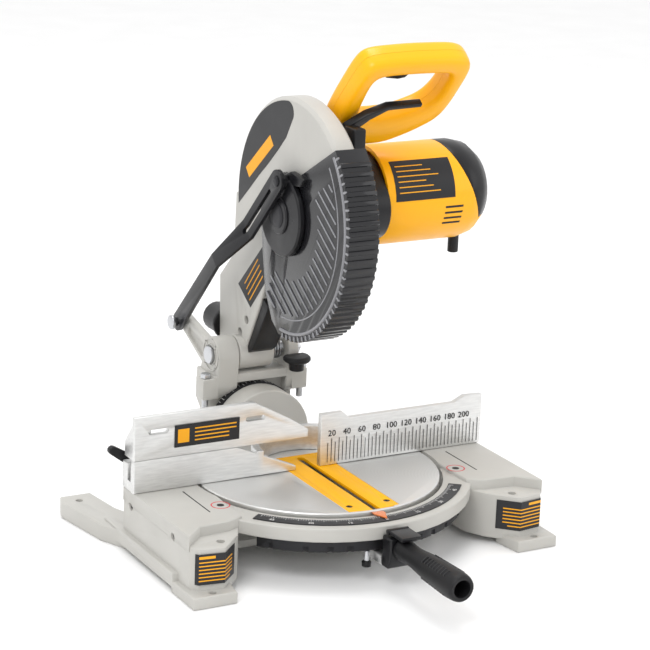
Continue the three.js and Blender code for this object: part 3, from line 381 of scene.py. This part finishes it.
def revolve(bm, profile, axis, centre, steps=48):
    """A turned solid: profile rows are (distance along the axis, radius)."""
    rings = []
    for along, radius in profile:
        ring = []
        for i in range(steps):
            u, v = polar(radius, 360 * i / steps)
            spots = {"x": (along, u, v), "y": (u, along, v), "z": (u, v, along)}
            shift = {"x": (0, 1, 1), "y": (1, 0, 1), "z": (1, 1, 0)}[axis]
            spot = [p + c * s for p, c, s in zip(spots[axis], centre, shift)]
            ring.append(bm.verts.new(spot))
        rings.append(ring)
    for lower, upper in zip(rings, rings[1:]):
        for i in range(steps):
            j = (i + 1) % steps
            bm.faces.new((lower[i], lower[j], upper[j], upper[i]))
    bm.faces.new(rings[0])
    bm.faces.new(list(reversed(rings[-1])))


def turned_piece(name, profile, axis, centre, body, material, replaced=(), steps=48):
    bm = bmesh.new()
    revolve(bm, profile, axis, centre, steps)
    mesh = finish_mesh(name, bm, angle=40)
    add_piece(name, mesh, body, material, replaced)


def sweep(bm, path, radius, sides=12):
    """A round wire along a list of points."""
    points = [Vector(p) for p in path]
    count = len(points)
    rings = []
    side = None
    for i, point in enumerate(points):
        before = points[max(i - 1, 0)]
        after = points[min(i + 1, count - 1)]
        heading = (after - before).normalized()
        if side is None:
            side = heading.orthogonal().normalized()
        side = (side - heading * side.dot(heading)).normalized()
        up = heading.cross(side)
        ring = []
        for k in range(sides):
            c, s = polar(radius, 360 * k / sides)
            ring.append(bm.verts.new(point + side * c + up * s))
        rings.append(ring)
    for lower, upper in zip(rings, rings[1:]):
        for k in range(sides):
            m = (k + 1) % sides
            bm.faces.new((lower[k], lower[m], upper[m], upper[k]))
    bm.faces.new(list(reversed(rings[0])))
    bm.faces.new(rings[-1])


def text_outlines(words, size, thickness):
    """A solid of plain numerals, centred on the origin and lying in the x-y plane."""
    curve = bpy.data.curves.new("numerals", "FONT")
    curve.body = words
    curve.size = size
    curve.extrude = thickness / 2
    curve.align_x = "CENTER"
    curve.align_y = "CENTER"
    curve.resolution_u = 2
    maker = bpy.data.objects.new("numerals_maker", curve)
    bpy.context.scene.collection.objects.link(maker)
    bpy.context.view_layer.update()
    depsgraph = bpy.context.evaluated_depsgraph_get()
    mesh = bpy.data.meshes.new_from_object(maker.evaluated_get(depsgraph))
    bpy.data.objects.remove(maker)
    return mesh


def add_text(bm, words, size, thickness, where):
    mesh = text_outlines(words, size, thickness)
    mesh.transform(where)
    bm.from_mesh(mesh)
    bpy.data.meshes.remove(mesh)


# ---------- base ----------
SCALE_BOX = saw_box("miter_scale")
BLOCK_SIDE = 225  # outer side of the side blocks
GROOVE_X = 173
STAMP_X = 153
PRINT = 0.1  # how far print and grooves stand off the block's top


def build_base():
    refined("base_casting", CAST, 0.9, 2)
    refined("detent_plate", DARK_STEEL, 0.4)
    refined("table_pivot_bolt", STEEL, 0.3)
    refined("miter_scale", DARK_STEEL, 0)
    build_miter_marks()
    build_block_details(1)
    build_block_details(-1)


def build_miter_marks():
    top = SCALE_BOX[1].z
    bm = bmesh.new()
    for degree in range(-50, 51):
        reach = 162 if degree % 5 == 0 else 159.5
        heading = degree - 90
        a = Vector(polar(157, heading, MITER.x, MITER.y))
        b = Vector(polar(reach, heading, MITER.x, MITER.y))
        prism(bm, bar_outline(a, b, 0.45), "z", top, top + 0.12)
    for degree in (-45, -30, -15, 0, 15, 30, 45):
        spot = Vector((*polar(166.4, degree - 90, MITER.x, MITER.y), top + 0.06))
        turn = Matrix.Rotation(math.radians(degree), 4, "Z")
        add_text(bm, str(abs(degree)), 6.5, 0.12, Matrix.Translation(spot) @ turn)
    mesh = finish_mesh("miter_marks", bm)
    add_piece("miter_marks", mesh, "base", WHITE_INK)


def build_block_details(side):
    tag = "right" if side > 0 else "left"
    bm = bmesh.new()
    ends = (side * GROOVE_X, -12), (side * GROOVE_X, -80)
    prism(bm, bar_outline(*ends, 1.6), "z", TABLE, TABLE + PRINT)
    name = "block_groove_" + tag
    add_piece(name, finish_mesh(name, bm), "base", SHADOW)
    # black discs set 2 mm inside the block's side holes: painted shade of the holes' insides
    for index, (y, z) in enumerate(((13, TABLE - 19), (-98, TABLE - 15))):
        inner, outer = sorted((side * (BLOCK_SIDE - 6), side * (BLOCK_SIDE - 2)))
        turned_piece(
            "block_plug_%s_%d" % (tag, index), [(inner, 4.4), (outer, 4.4)], "x", (0, y, z),
            "base", INK_AND_HOLE_SHADE, steps=20,
        )
    build_stamp(side * STAMP_X, -66, tag)
    build_front_label(side, tag)


def build_stamp(x, y, tag):
    """A plain red ring with a grey dot, printed on the block's top."""
    bm = bmesh.new()
    flat_ring(bm, 11, 9.6, "z", TABLE, TABLE + PRINT, x, y)
    name = "stamp_ring_" + tag
    add_piece(name, finish_mesh(name, bm), "base", RED_INK)
    bm = bmesh.new()
    prism(bm, arc(4.2, 0, 345, 23, x, y), "z", TABLE, TABLE + PRINT)
    name = "stamp_dot_" + tag
    add_piece(name, finish_mesh(name, bm), "base", INK_AND_HOLE_SHADE)


# The block's front wall in plan, from its outer side to the rim.
LABEL_PATH = [(224.2, -140.5), (218.2, -148.6), (189.4, -152.6), (164.5, -128.6)]


def walk(path, start, end):
    """The stretch of a polyline between two distances along it, with its corners."""
    spots = [Vector(p) for p in path]
    travelled = 0.0
    result = []
    for a, b in zip(spots, spots[1:]):
        length = (b - a).length
        for target in (start, end):
            if travelled <= target <= travelled + length:
                result.append(a + (b - a) * ((target - travelled) / length))
        if start < travelled + length < end:
            result.append(b)
        travelled += length
    return result


def wrap(bm, path, z0, z1, proud):
    """A thin film that follows a polyline, standing proud of the wall by its thickness."""
    outer = []
    for i, spot in enumerate(path):
        before = path[max(i - 1, 0)]
        after = path[min(i + 1, len(path) - 1)]
        heading = (after - before).normalized()
        outer.append(spot + Vector((-heading.y, heading.x)) * proud)
    prism(bm, [tuple(p) for p in path] + [tuple(p) for p in reversed(outer)], "z", z0, z1)


def build_front_label(side, tag):
    """A dark film wrapped round the block's front, with plain orange rules."""
    path = [(side * x, y) for x, y in LABEL_PATH]
    sign = 1 if side > 0 else -1
    bm = bmesh.new()
    wrap(bm, walk(path, 5, 68), 21, 56, sign * 0.35)
    name = "front_label_" + tag
    add_piece(name, finish_mesh(name, bm), "base", LABEL)
    bm = bmesh.new()
    for row in range(6):
        z = 25 + 4.2 * row
        wrap(bm, walk(path, 10, 60 - 6 * (row == 0)), z, z + 1.3, sign * 0.5)
    wrap(bm, walk(path, 10, 28), 50.6, 53.6, sign * 0.5)
    name = "front_label_rules_" + tag
    add_piece(name, finish_mesh(name, bm), "base", ORANGE_INK)


# ---------- fences ----------
def build_fences():
    refined("fixed_fence", FENCE, 0.4)
    refined("sliding_fence", FENCE, 0.4)
    refined("fence_clamp_lever", BLACK, 0.8, 3)
    for index in range(1, 5):
        refined("fence_bolt_%d" % index, STEEL, 0.3)
    build_ruler()
    build_fence_label()


RULER_ZERO = 3  # the ruler's zero, to the right of the blade's plane


def build_ruler():
    bm = bmesh.new()
    for mark in range(15, 221, 5):
        reach = 33 if mark % 10 == 0 else 28
        x = RULER_ZERO + mark
        prism(bm, rectangle(x - 0.32, TABLE + 4, x + 0.32, TABLE + reach), "y", -0.12, 0)
    stand = Matrix.Rotation(math.radians(90), 4, "X")
    for mark in range(20, 201, 20):
        spot = Matrix.Translation((RULER_ZERO + mark, -0.06, TABLE + 39))
        add_text(bm, str(mark), 10.5, 0.12, spot @ stand)
    mesh = finish_mesh("ruler_marks", bm)
    add_piece("ruler_marks", mesh, "base", INK_AND_HOLE_SHADE)


def build_fence_label():
    """A dark film on the sliding fence with a plain yellow block and rules."""
    bm = bmesh.new()
    prism(bm, rectangle(-179, TABLE + 49, -98, TABLE + 75), "y", -0.2, 0)
    mesh = finish_mesh("fence_label", bm)
    add_piece("fence_label", mesh, "sliding_fence_body", LABEL)
    bm = bmesh.new()
    prism(bm, rectangle(-175, TABLE + 54, -161, TABLE + 70), "y", -0.3, -0.15)
    for row in range(4):
        z = TABLE + 54.5 + 4.6 * row
        prism(bm, rectangle(-154, z, -102 - 9 * (row < 2), z + 1.5), "y", -0.3, -0.15)
    mesh = finish_mesh("fence_label_rules", bm)
    add_piece("fence_label_rules", mesh, "sliding_fence_body", ORANGE_INK)


# ---------- turntable ----------
def build_turntable():
    body = "turntable_body"
    refined("turntable", MILLED, 0.5)
    refined("kerf_plate", KERF_YELLOW, 0.25)
    for index in range(1, 5):
        refined("kerf_screw_%d" % index, DARK_STEEL, 0.15)
    refined("bevel_housing", CAST, 0.7)
    refined("bevel_scale", DARK_STEEL, 0)
    refined("miter_pointer", AMBER, 0.2)
    refined("miter_bracket", SATIN_BLACK, 0.8, 3)
    refined("miter_latch", SATIN_BLACK, 0.6, 3)
    refined("miter_lock_rod", STEEL, 0.4)
    build_bevel_marks(body)
    build_miter_handle()
    build_detent_pin(body)


def build_bevel_marks(body):
    high = saw_box("bevel_scale")[1]
    radius = high.z - TABLE
    bm = bmesh.new()
    for degree in range(-50, 51, 5):
        reach = 8 if degree % 15 == 0 else 5
        start, end = 90 + degree - 0.3, 90 + degree + 0.3
        outline = band(radius + 0.1, radius - 0.2, start, end, 1, 0, TABLE)
        prism(bm, outline, "y", high.y - reach, high.y - 1)
    mesh = finish_mesh("bevel_marks", bm)
    add_piece("bevel_marks", mesh, body, WHITE_INK)


def build_miter_handle():
    low, high = saw_box("miter_handle")
    length = high.y - low.y
    radius = (high.x - low.x) / 2
    centre = (0, 0, (low.z + high.z) / 2)
    share = [
        (0.22, 0.02), (0.22, 0.56), (0.004, 0.62), (0, 0.66), (0, 0.83), (0.01, 0.90),
        (0.035, 0.955), (0.08, 0.99), (0.14, 1.0), (0.3, 0.975), (0.45, 0.92), (0.6, 0.84),
        (0.7, 0.76), (0.78, 0.715), (0.86, 0.735), (0.93, 0.78), (0.975, 0.80), (1, 0.73),
        (1, 0.3), (0.999, 0.02),
    ]
    profile = [(low.y + a * length, r * radius) for a, r in share]
    turned_piece(
        "miter_handle_grip", profile, "y", centre, "miter_handle_body", RUBBER,
        ["miter_handle"],
    )
    bm = bmesh.new()
    for row in (35, 145, 215, 325):
        for i in range(9):
            y = low.y + length * 0.14 + i * 5.6
            turn = Matrix.Translation(centre) @ Matrix.Rotation(math.radians(-row), 4, "Y")
            reach = radius * (0.985 - 0.011 * i)
            prism(bm, rectangle(-4.5, y, 4.5, y + 2.6), "z", reach - 1.4, reach + 0.5, turn)
    mesh = finish_mesh("grip_ridges", bm, 0.5)
    add_piece("grip_ridges", mesh, "miter_handle_body", SATIN_BLACK)


def build_detent_pin(body):
    """A short bright pin with a black knob under the rim, left of the handle."""
    x, y = -24, -170
    bottom = 19
    turned_piece(
        "detent_pin", [(bottom + 8, 3.2), (bottom + 18, 3.2), (bottom + 19, 2.6)], "z",
        (x, y, 0), body, STEEL, steps=24,
    )
    turned_piece(
        "detent_knob",
        [(bottom, 2.5), (bottom + 0.8, 5), (bottom + 6, 5.4), (bottom + 8, 3.4)], "z",
        (x, y, 0), body, BLACK, steps=24,
    )


# ---------- trunnion ----------
def build_trunnion():
    body = "trunnion_body"
    refined("trunnion", CAST, 0.6)
    refined("chop_pivot_pin", STEEL, 0.5)
    refined("bevel_stop_bolt_left", STEEL, 0.3)
    refined("bevel_stop_bolt_right", STEEL, 0.3)
    refined("head_bumper", RUBBER, 0.8, 3)
    refined("link_pivot_bolt", STEEL, 0.4)
    refined("bevel_clamp_lever", BLACK, 0.8, 3)
    refined("lockdown_pin", STEEL, 0.4)
    refined("guard_link", SATIN_BLACK, 0.7, 3)
    build_spring(body)
    build_lug_spokes(body)


def build_spring(body):
    low, high = saw_box("return_spring")
    wire = 1.5
    coil = 12.5
    turns = 3
    steps = 96
    first, last = low.x + wire, high.x - wire
    path = []
    for i in range(steps + 1):
        share = i / steps
        y, z = polar(coil, 360 * turns * share, CHOP.y, CHOP.z)
        path.append((first + (last - first) * share, y, z))
    bm = bmesh.new()
    sweep(bm, path, wire)
    mesh = finish_mesh("return_spring_wire", bm)
    add_piece("return_spring_wire", mesh, body, SPRING, ["return_spring"])


LUG_FACE = -52  # left face of the left lug


def build_lug_spokes(body):
    """The left lug's face: a raised rim and four spokes round the pivot pin."""
    front, back = LUG_FACE - 1.2, LUG_FACE + 0.5
    bm = bmesh.new()
    for inner, outer in ((12.2, 13.6), (18.4, 20.2)):
        flat_ring(bm, outer, inner, "x", front, back, CHOP.y, CHOP.z)
    for heading in (45, 135, 225, 315):
        a = polar(13, heading, CHOP.y, CHOP.z)
        b = polar(19, heading, CHOP.y, CHOP.z)
        prism(bm, bar_outline(a, b, 2.4), "x", front, back)
    mesh = finish_mesh("lug_spokes", bm)
    add_piece("lug_spokes", mesh, body, CAST)


# ---------- head ----------
def build_head():
    body = "head"
    refined("head_casting", CAST, 1.2, 3)
    refined("dust_chute", BLACK, 0.6)
    refined("dust_spout", BLACK, 0.6)
    refined("gear_case", SATIN_BLACK, 0.8, 3)
    refined("lever_bracket", SATIN_BLACK, 1.0, 3)
    refined("motor_housing", YELLOW, 0.5)
    refined("motor_end_cap", SATIN_BLACK, 0.5)
    refined("cord_gland", RUBBER, 0.5)
    refined("motor_stator", COPPER, 0.3)
    refined("armature", COPPER, 0.3)
    refined("carbon_brush_front", DARK_STEEL, 0.3)
    refined("carbon_brush_rear", DARK_STEEL, 0.3)
    refined("spindle_lock", BLACK, 0.4)
    refined("trigger", SATIN_BLACK, 0.8, 3)
    refined("guard_release_lever", SATIN_BLACK, 0.6, 3)
    build_head_labels(body)
    build_motor_details(body)
    build_handle(body)


ARM_FACE = -15  # left face of the arm and of the fixed guard


def build_head_labels(body):
    face = ARM_FACE
    bm = bmesh.new()
    rim = arc(129.5, -7, 84, 24, ARBOR.y, ARBOR.z)
    tip = arc(13, 84, 200, 6, *polar(116.5, 84, ARBOR.y, ARBOR.z))
    chord = [(66, 452), (84, 434), (106, 414), (130, 394), (152, 374)]
    prism(bm, rim + tip + chord, "x", face - 0.25, face)
    mesh = finish_mesh("guard_panel", bm)
    add_piece("guard_panel", mesh, body, LABEL)
    bm = bmesh.new()
    outline = [(174, 252), (113, 314), (101, 296), (101, 276), (141, 231)]
    prism(bm, outline, "x", face - 0.25, face)
    mesh = finish_mesh("arm_panel", bm)
    add_piece("arm_panel", mesh, body, LABEL)
    bm = bmesh.new()
    for row in range(4):
        shift = Vector((4.6, 5.6)) * row
        a = Vector((143, 240)) + shift
        b = Vector((112, 277)) + shift
        prism(bm, bar_outline(a, b, 1.5), "x", face - 0.35, face - 0.2)
    outline = [(162.5, 397.3), (153.5, 386.7), (95.5, 436.7), (104.5, 447.3)]
    prism(bm, outline, "x", face - 0.35, face - 0.2)
    mesh = finish_mesh("arm_panel_rules", bm)
    add_piece("arm_panel_rules", mesh, body, ORANGE_INK)


def build_motor_details(body):
    low, high = saw_box("motor_housing")
    radius = (high.z - low.z) / 2
    bm = bmesh.new()
    outline = band(radius + 0.35, radius - 0.6, 128, 176, 14, MOTOR.y, MOTOR.z)
    prism(bm, outline, "x", 108, 188)
    mesh = finish_mesh("motor_panel", bm)
    add_piece("motor_panel", mesh, body, LABEL)
    bm = bmesh.new()
    for row in range(6):
        heading = 135 + 6.2 * row
        outline = band(radius + 0.5, radius, heading, heading + 1.2, 1, MOTOR.y, MOTOR.z)
        prism(bm, outline, "x", 113, 150 + 9 * (row % 3))
    mesh = finish_mesh("motor_panel_rules", bm)
    add_piece("motor_panel_rules", mesh, body, ORANGE_INK)
    bm = bmesh.new()
    for heading in (186, 193, 200, 207):
        outline = band(radius + 0.15, radius - 1, heading, heading + 2.4, 1, MOTOR.y, MOTOR.z)
        prism(bm, outline, "x", 176, 200)
    mesh = finish_mesh("motor_vents", bm)
    add_piece("motor_vents", mesh, body, SHADOW)


# The D handle: a section swept round the gap between an inner and an outer outline.
HANDLE_LEAN = math.radians(127.4)
HANDLE_ROOT = Vector((0, 45, 464))
HANDLE_UP = Vector((0, math.cos(HANDLE_LEAN), math.sin(HANDLE_LEAN)))
HANDLE_OUT = Vector((1, 0, 0)).cross(HANDLE_UP)
HANDLE_OUTER = [
    (21, -10), (60, -19), (98, -19), (128, -4), (154, 16), (164, 36), (169, 102), (163, 116),
    (146, 122), (90, 124), (38, 121), (27, 110), (20, 40),
]
HANDLE_INNER = [
    (62, 21), (102, 23), (134, 37), (145, 56), (147, 90), (138, 98), (96, 99), (54, 98),
    (45, 88), (46, 38),
]
HANDLE_HALF = 17.0  # from the parting plane to the grip's side
HANDLE_SEAM = 0.15  # each shell stands this far off the parting plane
HANDLE_POWER = 0.55  # below 1, the section is squarer than an ellipse


def handle_plane(u, v, w):
    return HANDLE_ROOT + Vector((u, 0, 0)) + HANDLE_UP * v + HANDLE_OUT * w


def rounded_loop(points, passes=3):
    """Chaikin's corner cutting on a closed outline."""
    loop = [Vector(p) for p in points]
    for _ in range(passes):
        cut = []
        for a, b in zip(loop, loop[1:] + loop[:1]):
            cut += [a * 0.8 + b * 0.2, a * 0.2 + b * 0.8]
        loop = cut
    return loop


def ray_hit(loop, centre, heading):
    """Where a ray from the centre meets a closed outline."""
    c, s = math.cos(heading), math.sin(heading)
    best = None
    for a, b in zip(loop, loop[1:] + loop[:1]):
        p, q = a - centre, b - centre
        side_p, side_q = p.y * c - p.x * s, q.y * c - q.x * s
        if side_p * side_q > 0 or side_p == side_q:
            continue
        spot = p + (q - p) * (side_p / (side_p - side_q))
        if spot.x * c + spot.y * s > 0 and (best is None or spot.length > best.length):
            best = spot
    return centre + best


def handle_half(front):
    """One moulded shell of the D handle, closed along the parting plane."""
    outer = rounded_loop(HANDLE_OUTER)
    inner = rounded_loop(HANDLE_INNER)
    centre = Vector((96, 60))
    sign = 1 if front else -1
    steps = 120
    section = [i / 12 for i in range(13)]
    bm = bmesh.new()
    rings = []
    for i in range(steps):
        heading = 2 * math.pi * i / steps
        out = ray_hit(outer, centre, heading)
        near = ray_hit(inner, centre, heading)
        middle, half = (out + near) / 2, (out - near) / 2
        ring = []
        for share in section:
            a = math.pi * share
            across = math.copysign(abs(math.cos(a)) ** HANDLE_POWER, math.cos(a))
            rise = math.sin(a) ** HANDLE_POWER if 0 < share < 1 else 0
            spot = middle + half * across
            height = sign * (HANDLE_SEAM + (HANDLE_HALF - HANDLE_SEAM) * rise)
            ring.append(bm.verts.new(handle_plane(spot.x, spot.y, height)))
        rings.append(ring)
    count = len(section)
    for i in range(steps):
        a, b = rings[i], rings[(i + 1) % steps]
        for k in range(count - 1):
            bm.faces.new((a[k], a[k + 1], b[k + 1], b[k]))
        bm.faces.new((a[count - 1], a[0], b[0], b[count - 1]))
    return bm


def build_handle(body):
    for tag, front in (("front", True), ("rear", False)):
        bm = handle_half(front)
        name = "handle_%s_moulding" % tag
        mesh = finish_mesh(name, bm, angle=50)
        mesh = baked(name, mesh, [("BOOLEAN", {"object": trigger_pocket(), "solver": "EXACT"})])
        smooth(mesh, 50)
        add_piece(name, mesh, body, YELLOW, ["handle_%s_shell" % tag])
    remove_makers()


def trigger_pocket():
    bm = bmesh.new()
    turn = Matrix.Translation(HANDLE_ROOT) @ Matrix(
        (
            (1, HANDLE_UP.x, HANDLE_OUT.x, 0),
            (0, HANDLE_UP.y, HANDLE_OUT.y, 0),
            (0, HANDLE_UP.z, HANDLE_OUT.z, 0),
            (0, 0, 0, 1),
        )
    )
    prism(bm, rectangle(58.5, 88, 95.5, 116.5), "z", -8.6, 8.6, turn)
    mesh = finish_mesh("trigger_pocket", bm)
    maker = bpy.data.objects.new("pocket_maker", mesh)
    bpy.context.scene.collection.objects.link(maker)
    return maker


def remove_makers():
    for maker in [o for o in bpy.data.objects if o.name.startswith("pocket_maker")]:
        bpy.data.objects.remove(maker)


# ---------- blade and guard ----------
def build_blade():
    refined("saw_blade", BLADE, 0)
    refined("arbor_shaft", STEEL, 0.3)
    refined("blade_flange_outer", STEEL, 0.4)
    refined("blade_flange_inner", STEEL, 0.4)
    refined("blade_bolt", DARK_STEEL, 0.4)
    refined("drive_gear", STEEL, 0.3)


RIB_HEADING = 213  # the guard's ribs all run this way, degrees from +Y towards +Z
RIB_PITCH = 11.5
RIB_SHIFT = 4  # sideways, from the arbor to the middle rib
RIB_INNER = 76
RIB_OUTER = 117
RIB_START = 150
RIB_END = 292
RIB_SHORTEST = 9
GUARD_FACE = saw_box("lower_guard")[0].x


def build_lower_guard():
    body = "lower_guard_body"
    refined("lower_guard", SMOKE, 0.5)
    refined("guard_hub_cover", SATIN_BLACK, 0.8, 3)
    build_guard_ribs(body)
    build_guard_ridge(body)
    build_hub_details(body)


def clipped_rib(offset):
    """The stretch of one straight rib that lies in the ribbed band of the guard's face."""
    along = Vector(polar(1, RIB_HEADING))
    side = Vector((-along.y, along.x))
    stations = []
    for i in range(241):
        spot = side * offset + along * (i - 120)
        heading = math.degrees(math.atan2(spot.y, spot.x)) % 360
        if RIB_INNER < spot.length < RIB_OUTER and RIB_START < heading < RIB_END:
            stations.append(spot)
    return stations


def build_guard_ribs(body):
    face = GUARD_FACE
    bm = bmesh.new()
    for index in range(-11, 12):
        stations = clipped_rib(index * RIB_PITCH + RIB_SHIFT)
        runs = [[]]
        for a, b in zip(stations, stations[1:] + [None]):
            runs[-1].append(a)
            if b is None or (b - a).length > 2:
                runs.append([])
        for run in runs:
            if len(run) < RIB_SHORTEST:
                continue
            a = run[0] + Vector((ARBOR.y, ARBOR.z))
            b = run[-1] + Vector((ARBOR.y, ARBOR.z))
            prism(bm, bar_outline(a, b, 1.9), "x", face - 1.1, face + 0.6)
    mesh = finish_mesh("guard_ribs", bm, 0.5)
    # the ribs take the lighter smoked grey: a painted highlight
    add_piece("guard_ribs", mesh, body, SMOKE_RIB_HIGHLIGHT)


def build_guard_ridge(body):
    """A round ridge along the edge of the guard's face."""
    face = GUARD_FACE
    bm = bmesh.new()
    path = [(face + 0.4, *polar(137.5, a, ARBOR.y, ARBOR.z)) for a in range(140, 273, 2)]
    sweep(bm, path, 2.2)
    path = [(face + 0.3, *polar(121.5, a, ARBOR.y, ARBOR.z)) for a in range(142, 273, 2)]
    sweep(bm, path, 1.0)
    for index in range(34):
        heading = 142 + 3.86 * index
        a = Vector(polar(141.5, heading, ARBOR.y, ARBOR.z))
        b = Vector(polar(145.2, heading, ARBOR.y, ARBOR.z))
        prism(bm, bar_outline(a, b, 2.6), "x", face - 0.9, face + 1)
    mesh = finish_mesh("guard_ridge", bm)
    # the ridges and rim bumps take the lighter smoked grey: a painted highlight
    add_piece("guard_ridge", mesh, body, SMOKE_RIB_HIGHLIGHT)


def build_hub_details(body):
    bm = bmesh.new()
    outline = [(52, 412), (31, 421), (2, 417), (8, 408), (33, 404), (51, 406)]
    prism(bm, outline, "x", -27, -19.5)
    mesh = finish_mesh("guard_tab", bm, 1.2, 3)
    add_piece("guard_tab", mesh, body, SATIN_BLACK)
    turned_piece(
        "hub_ring", [(-33.6, 8.0), (-33.6, 13.4), (-32.6, 14.6), (-30, 15.0)], "x",
        (0, ARBOR.y, ARBOR.z), body, DARK_STEEL,
    )
    turned_piece(
        "link_top_screw", [(-42.4, 2.0), (-42.4, 5.2), (-41.6, 6.2), (-40.2, 6.4)], "x",
        (0, 39.5, 409), "guard_link_body", DARK_STEEL, steps=28,
    )


# ---------- stage ----------
FLOOR_REACH = 6.0  # metres from the middle to the floor's edge


def build_floor():
    mesh = bpy.data.meshes.new("floor")
    reach = FLOOR_REACH
    corners = [(x, y, 0) for x, y in rectangle(-reach, -reach, reach, reach)]
    mesh.from_pydata(corners, [], [(0, 1, 2, 3)])
    floor = bpy.data.objects.new("floor", mesh)
    bpy.context.scene.collection.objects.link(floor)
    mesh.materials.append(moulded("pale_floor", (0.93, 0.93, 0.93), 0.8, 0.01, 60, 0.02))


def area_light(name, position, target, size, power):
    data = bpy.data.lights.new(name, "AREA")
    data.shape = "DISK"
    data.size = size
    data.energy = power
    lamp = bpy.data.objects.new(name, data)
    bpy.context.scene.collection.objects.link(lamp)
    lamp.location = position
    lamp.rotation_euler = (Vector(target) - Vector(position)).to_track_quat("-Z", "Y").to_euler()


def build_light():
    world = bpy.data.worlds.new("studio")
    world.use_nodes = True
    backdrop = world.node_tree.nodes["Background"]
    backdrop.inputs["Color"].default_value = (1, 1, 1, 1)
    backdrop.inputs["Strength"].default_value = 1.0
    bpy.context.scene.world = world
    bpy.context.scene.view_settings.view_transform = "Standard"
    centre = (0, 0, 0.25)
    area_light("key", (-1.5, -1.2, 2.3), centre, 1.2, 24)
    area_light("fill", (2.2, -1.6, 1.4), centre, 1.8, 7)
    area_light("top", (0.2, 0.6, 2.6), centre, 1.2, 20)


CAMERA_SPOT = (-1255.05, -2235.86, 1003.12)
CAMERA_TURN = math.radians(-29.46)
CAMERA_RISE = math.radians(16.43)
CAMERA_ROLL = math.radians(2.26)
CAMERA_LENS = 130.0


def build_camera():
    data = bpy.data.cameras.new("camera")
    data.lens = CAMERA_LENS
    data.sensor_width = 36.0
    camera = bpy.data.objects.new("camera", data)
    bpy.context.scene.collection.objects.link(camera)
    back = Vector(
        (
            math.sin(CAMERA_TURN) * math.cos(CAMERA_RISE),
            -math.cos(CAMERA_TURN) * math.cos(CAMERA_RISE),
            math.sin(CAMERA_RISE),
        )
    )
    right = Vector((0, 0, 1)).cross(back).normalized()
    up = back.cross(right)
    c, s = math.cos(CAMERA_ROLL), math.sin(CAMERA_ROLL)
    rolled = right * c + up * s
    upright = up * c - right * s
    axes = Matrix((rolled, upright, back)).transposed().to_4x4()
    camera.matrix_world = Matrix.Translation(TO_ROW @ Vector(CAMERA_SPOT)) @ axes
    bpy.context.scene.camera = camera


build_camera()
build_base()
build_fences()
build_turntable()
build_trunnion()
build_head()
build_blade()
build_lower_guard()
build_floor()
build_light()
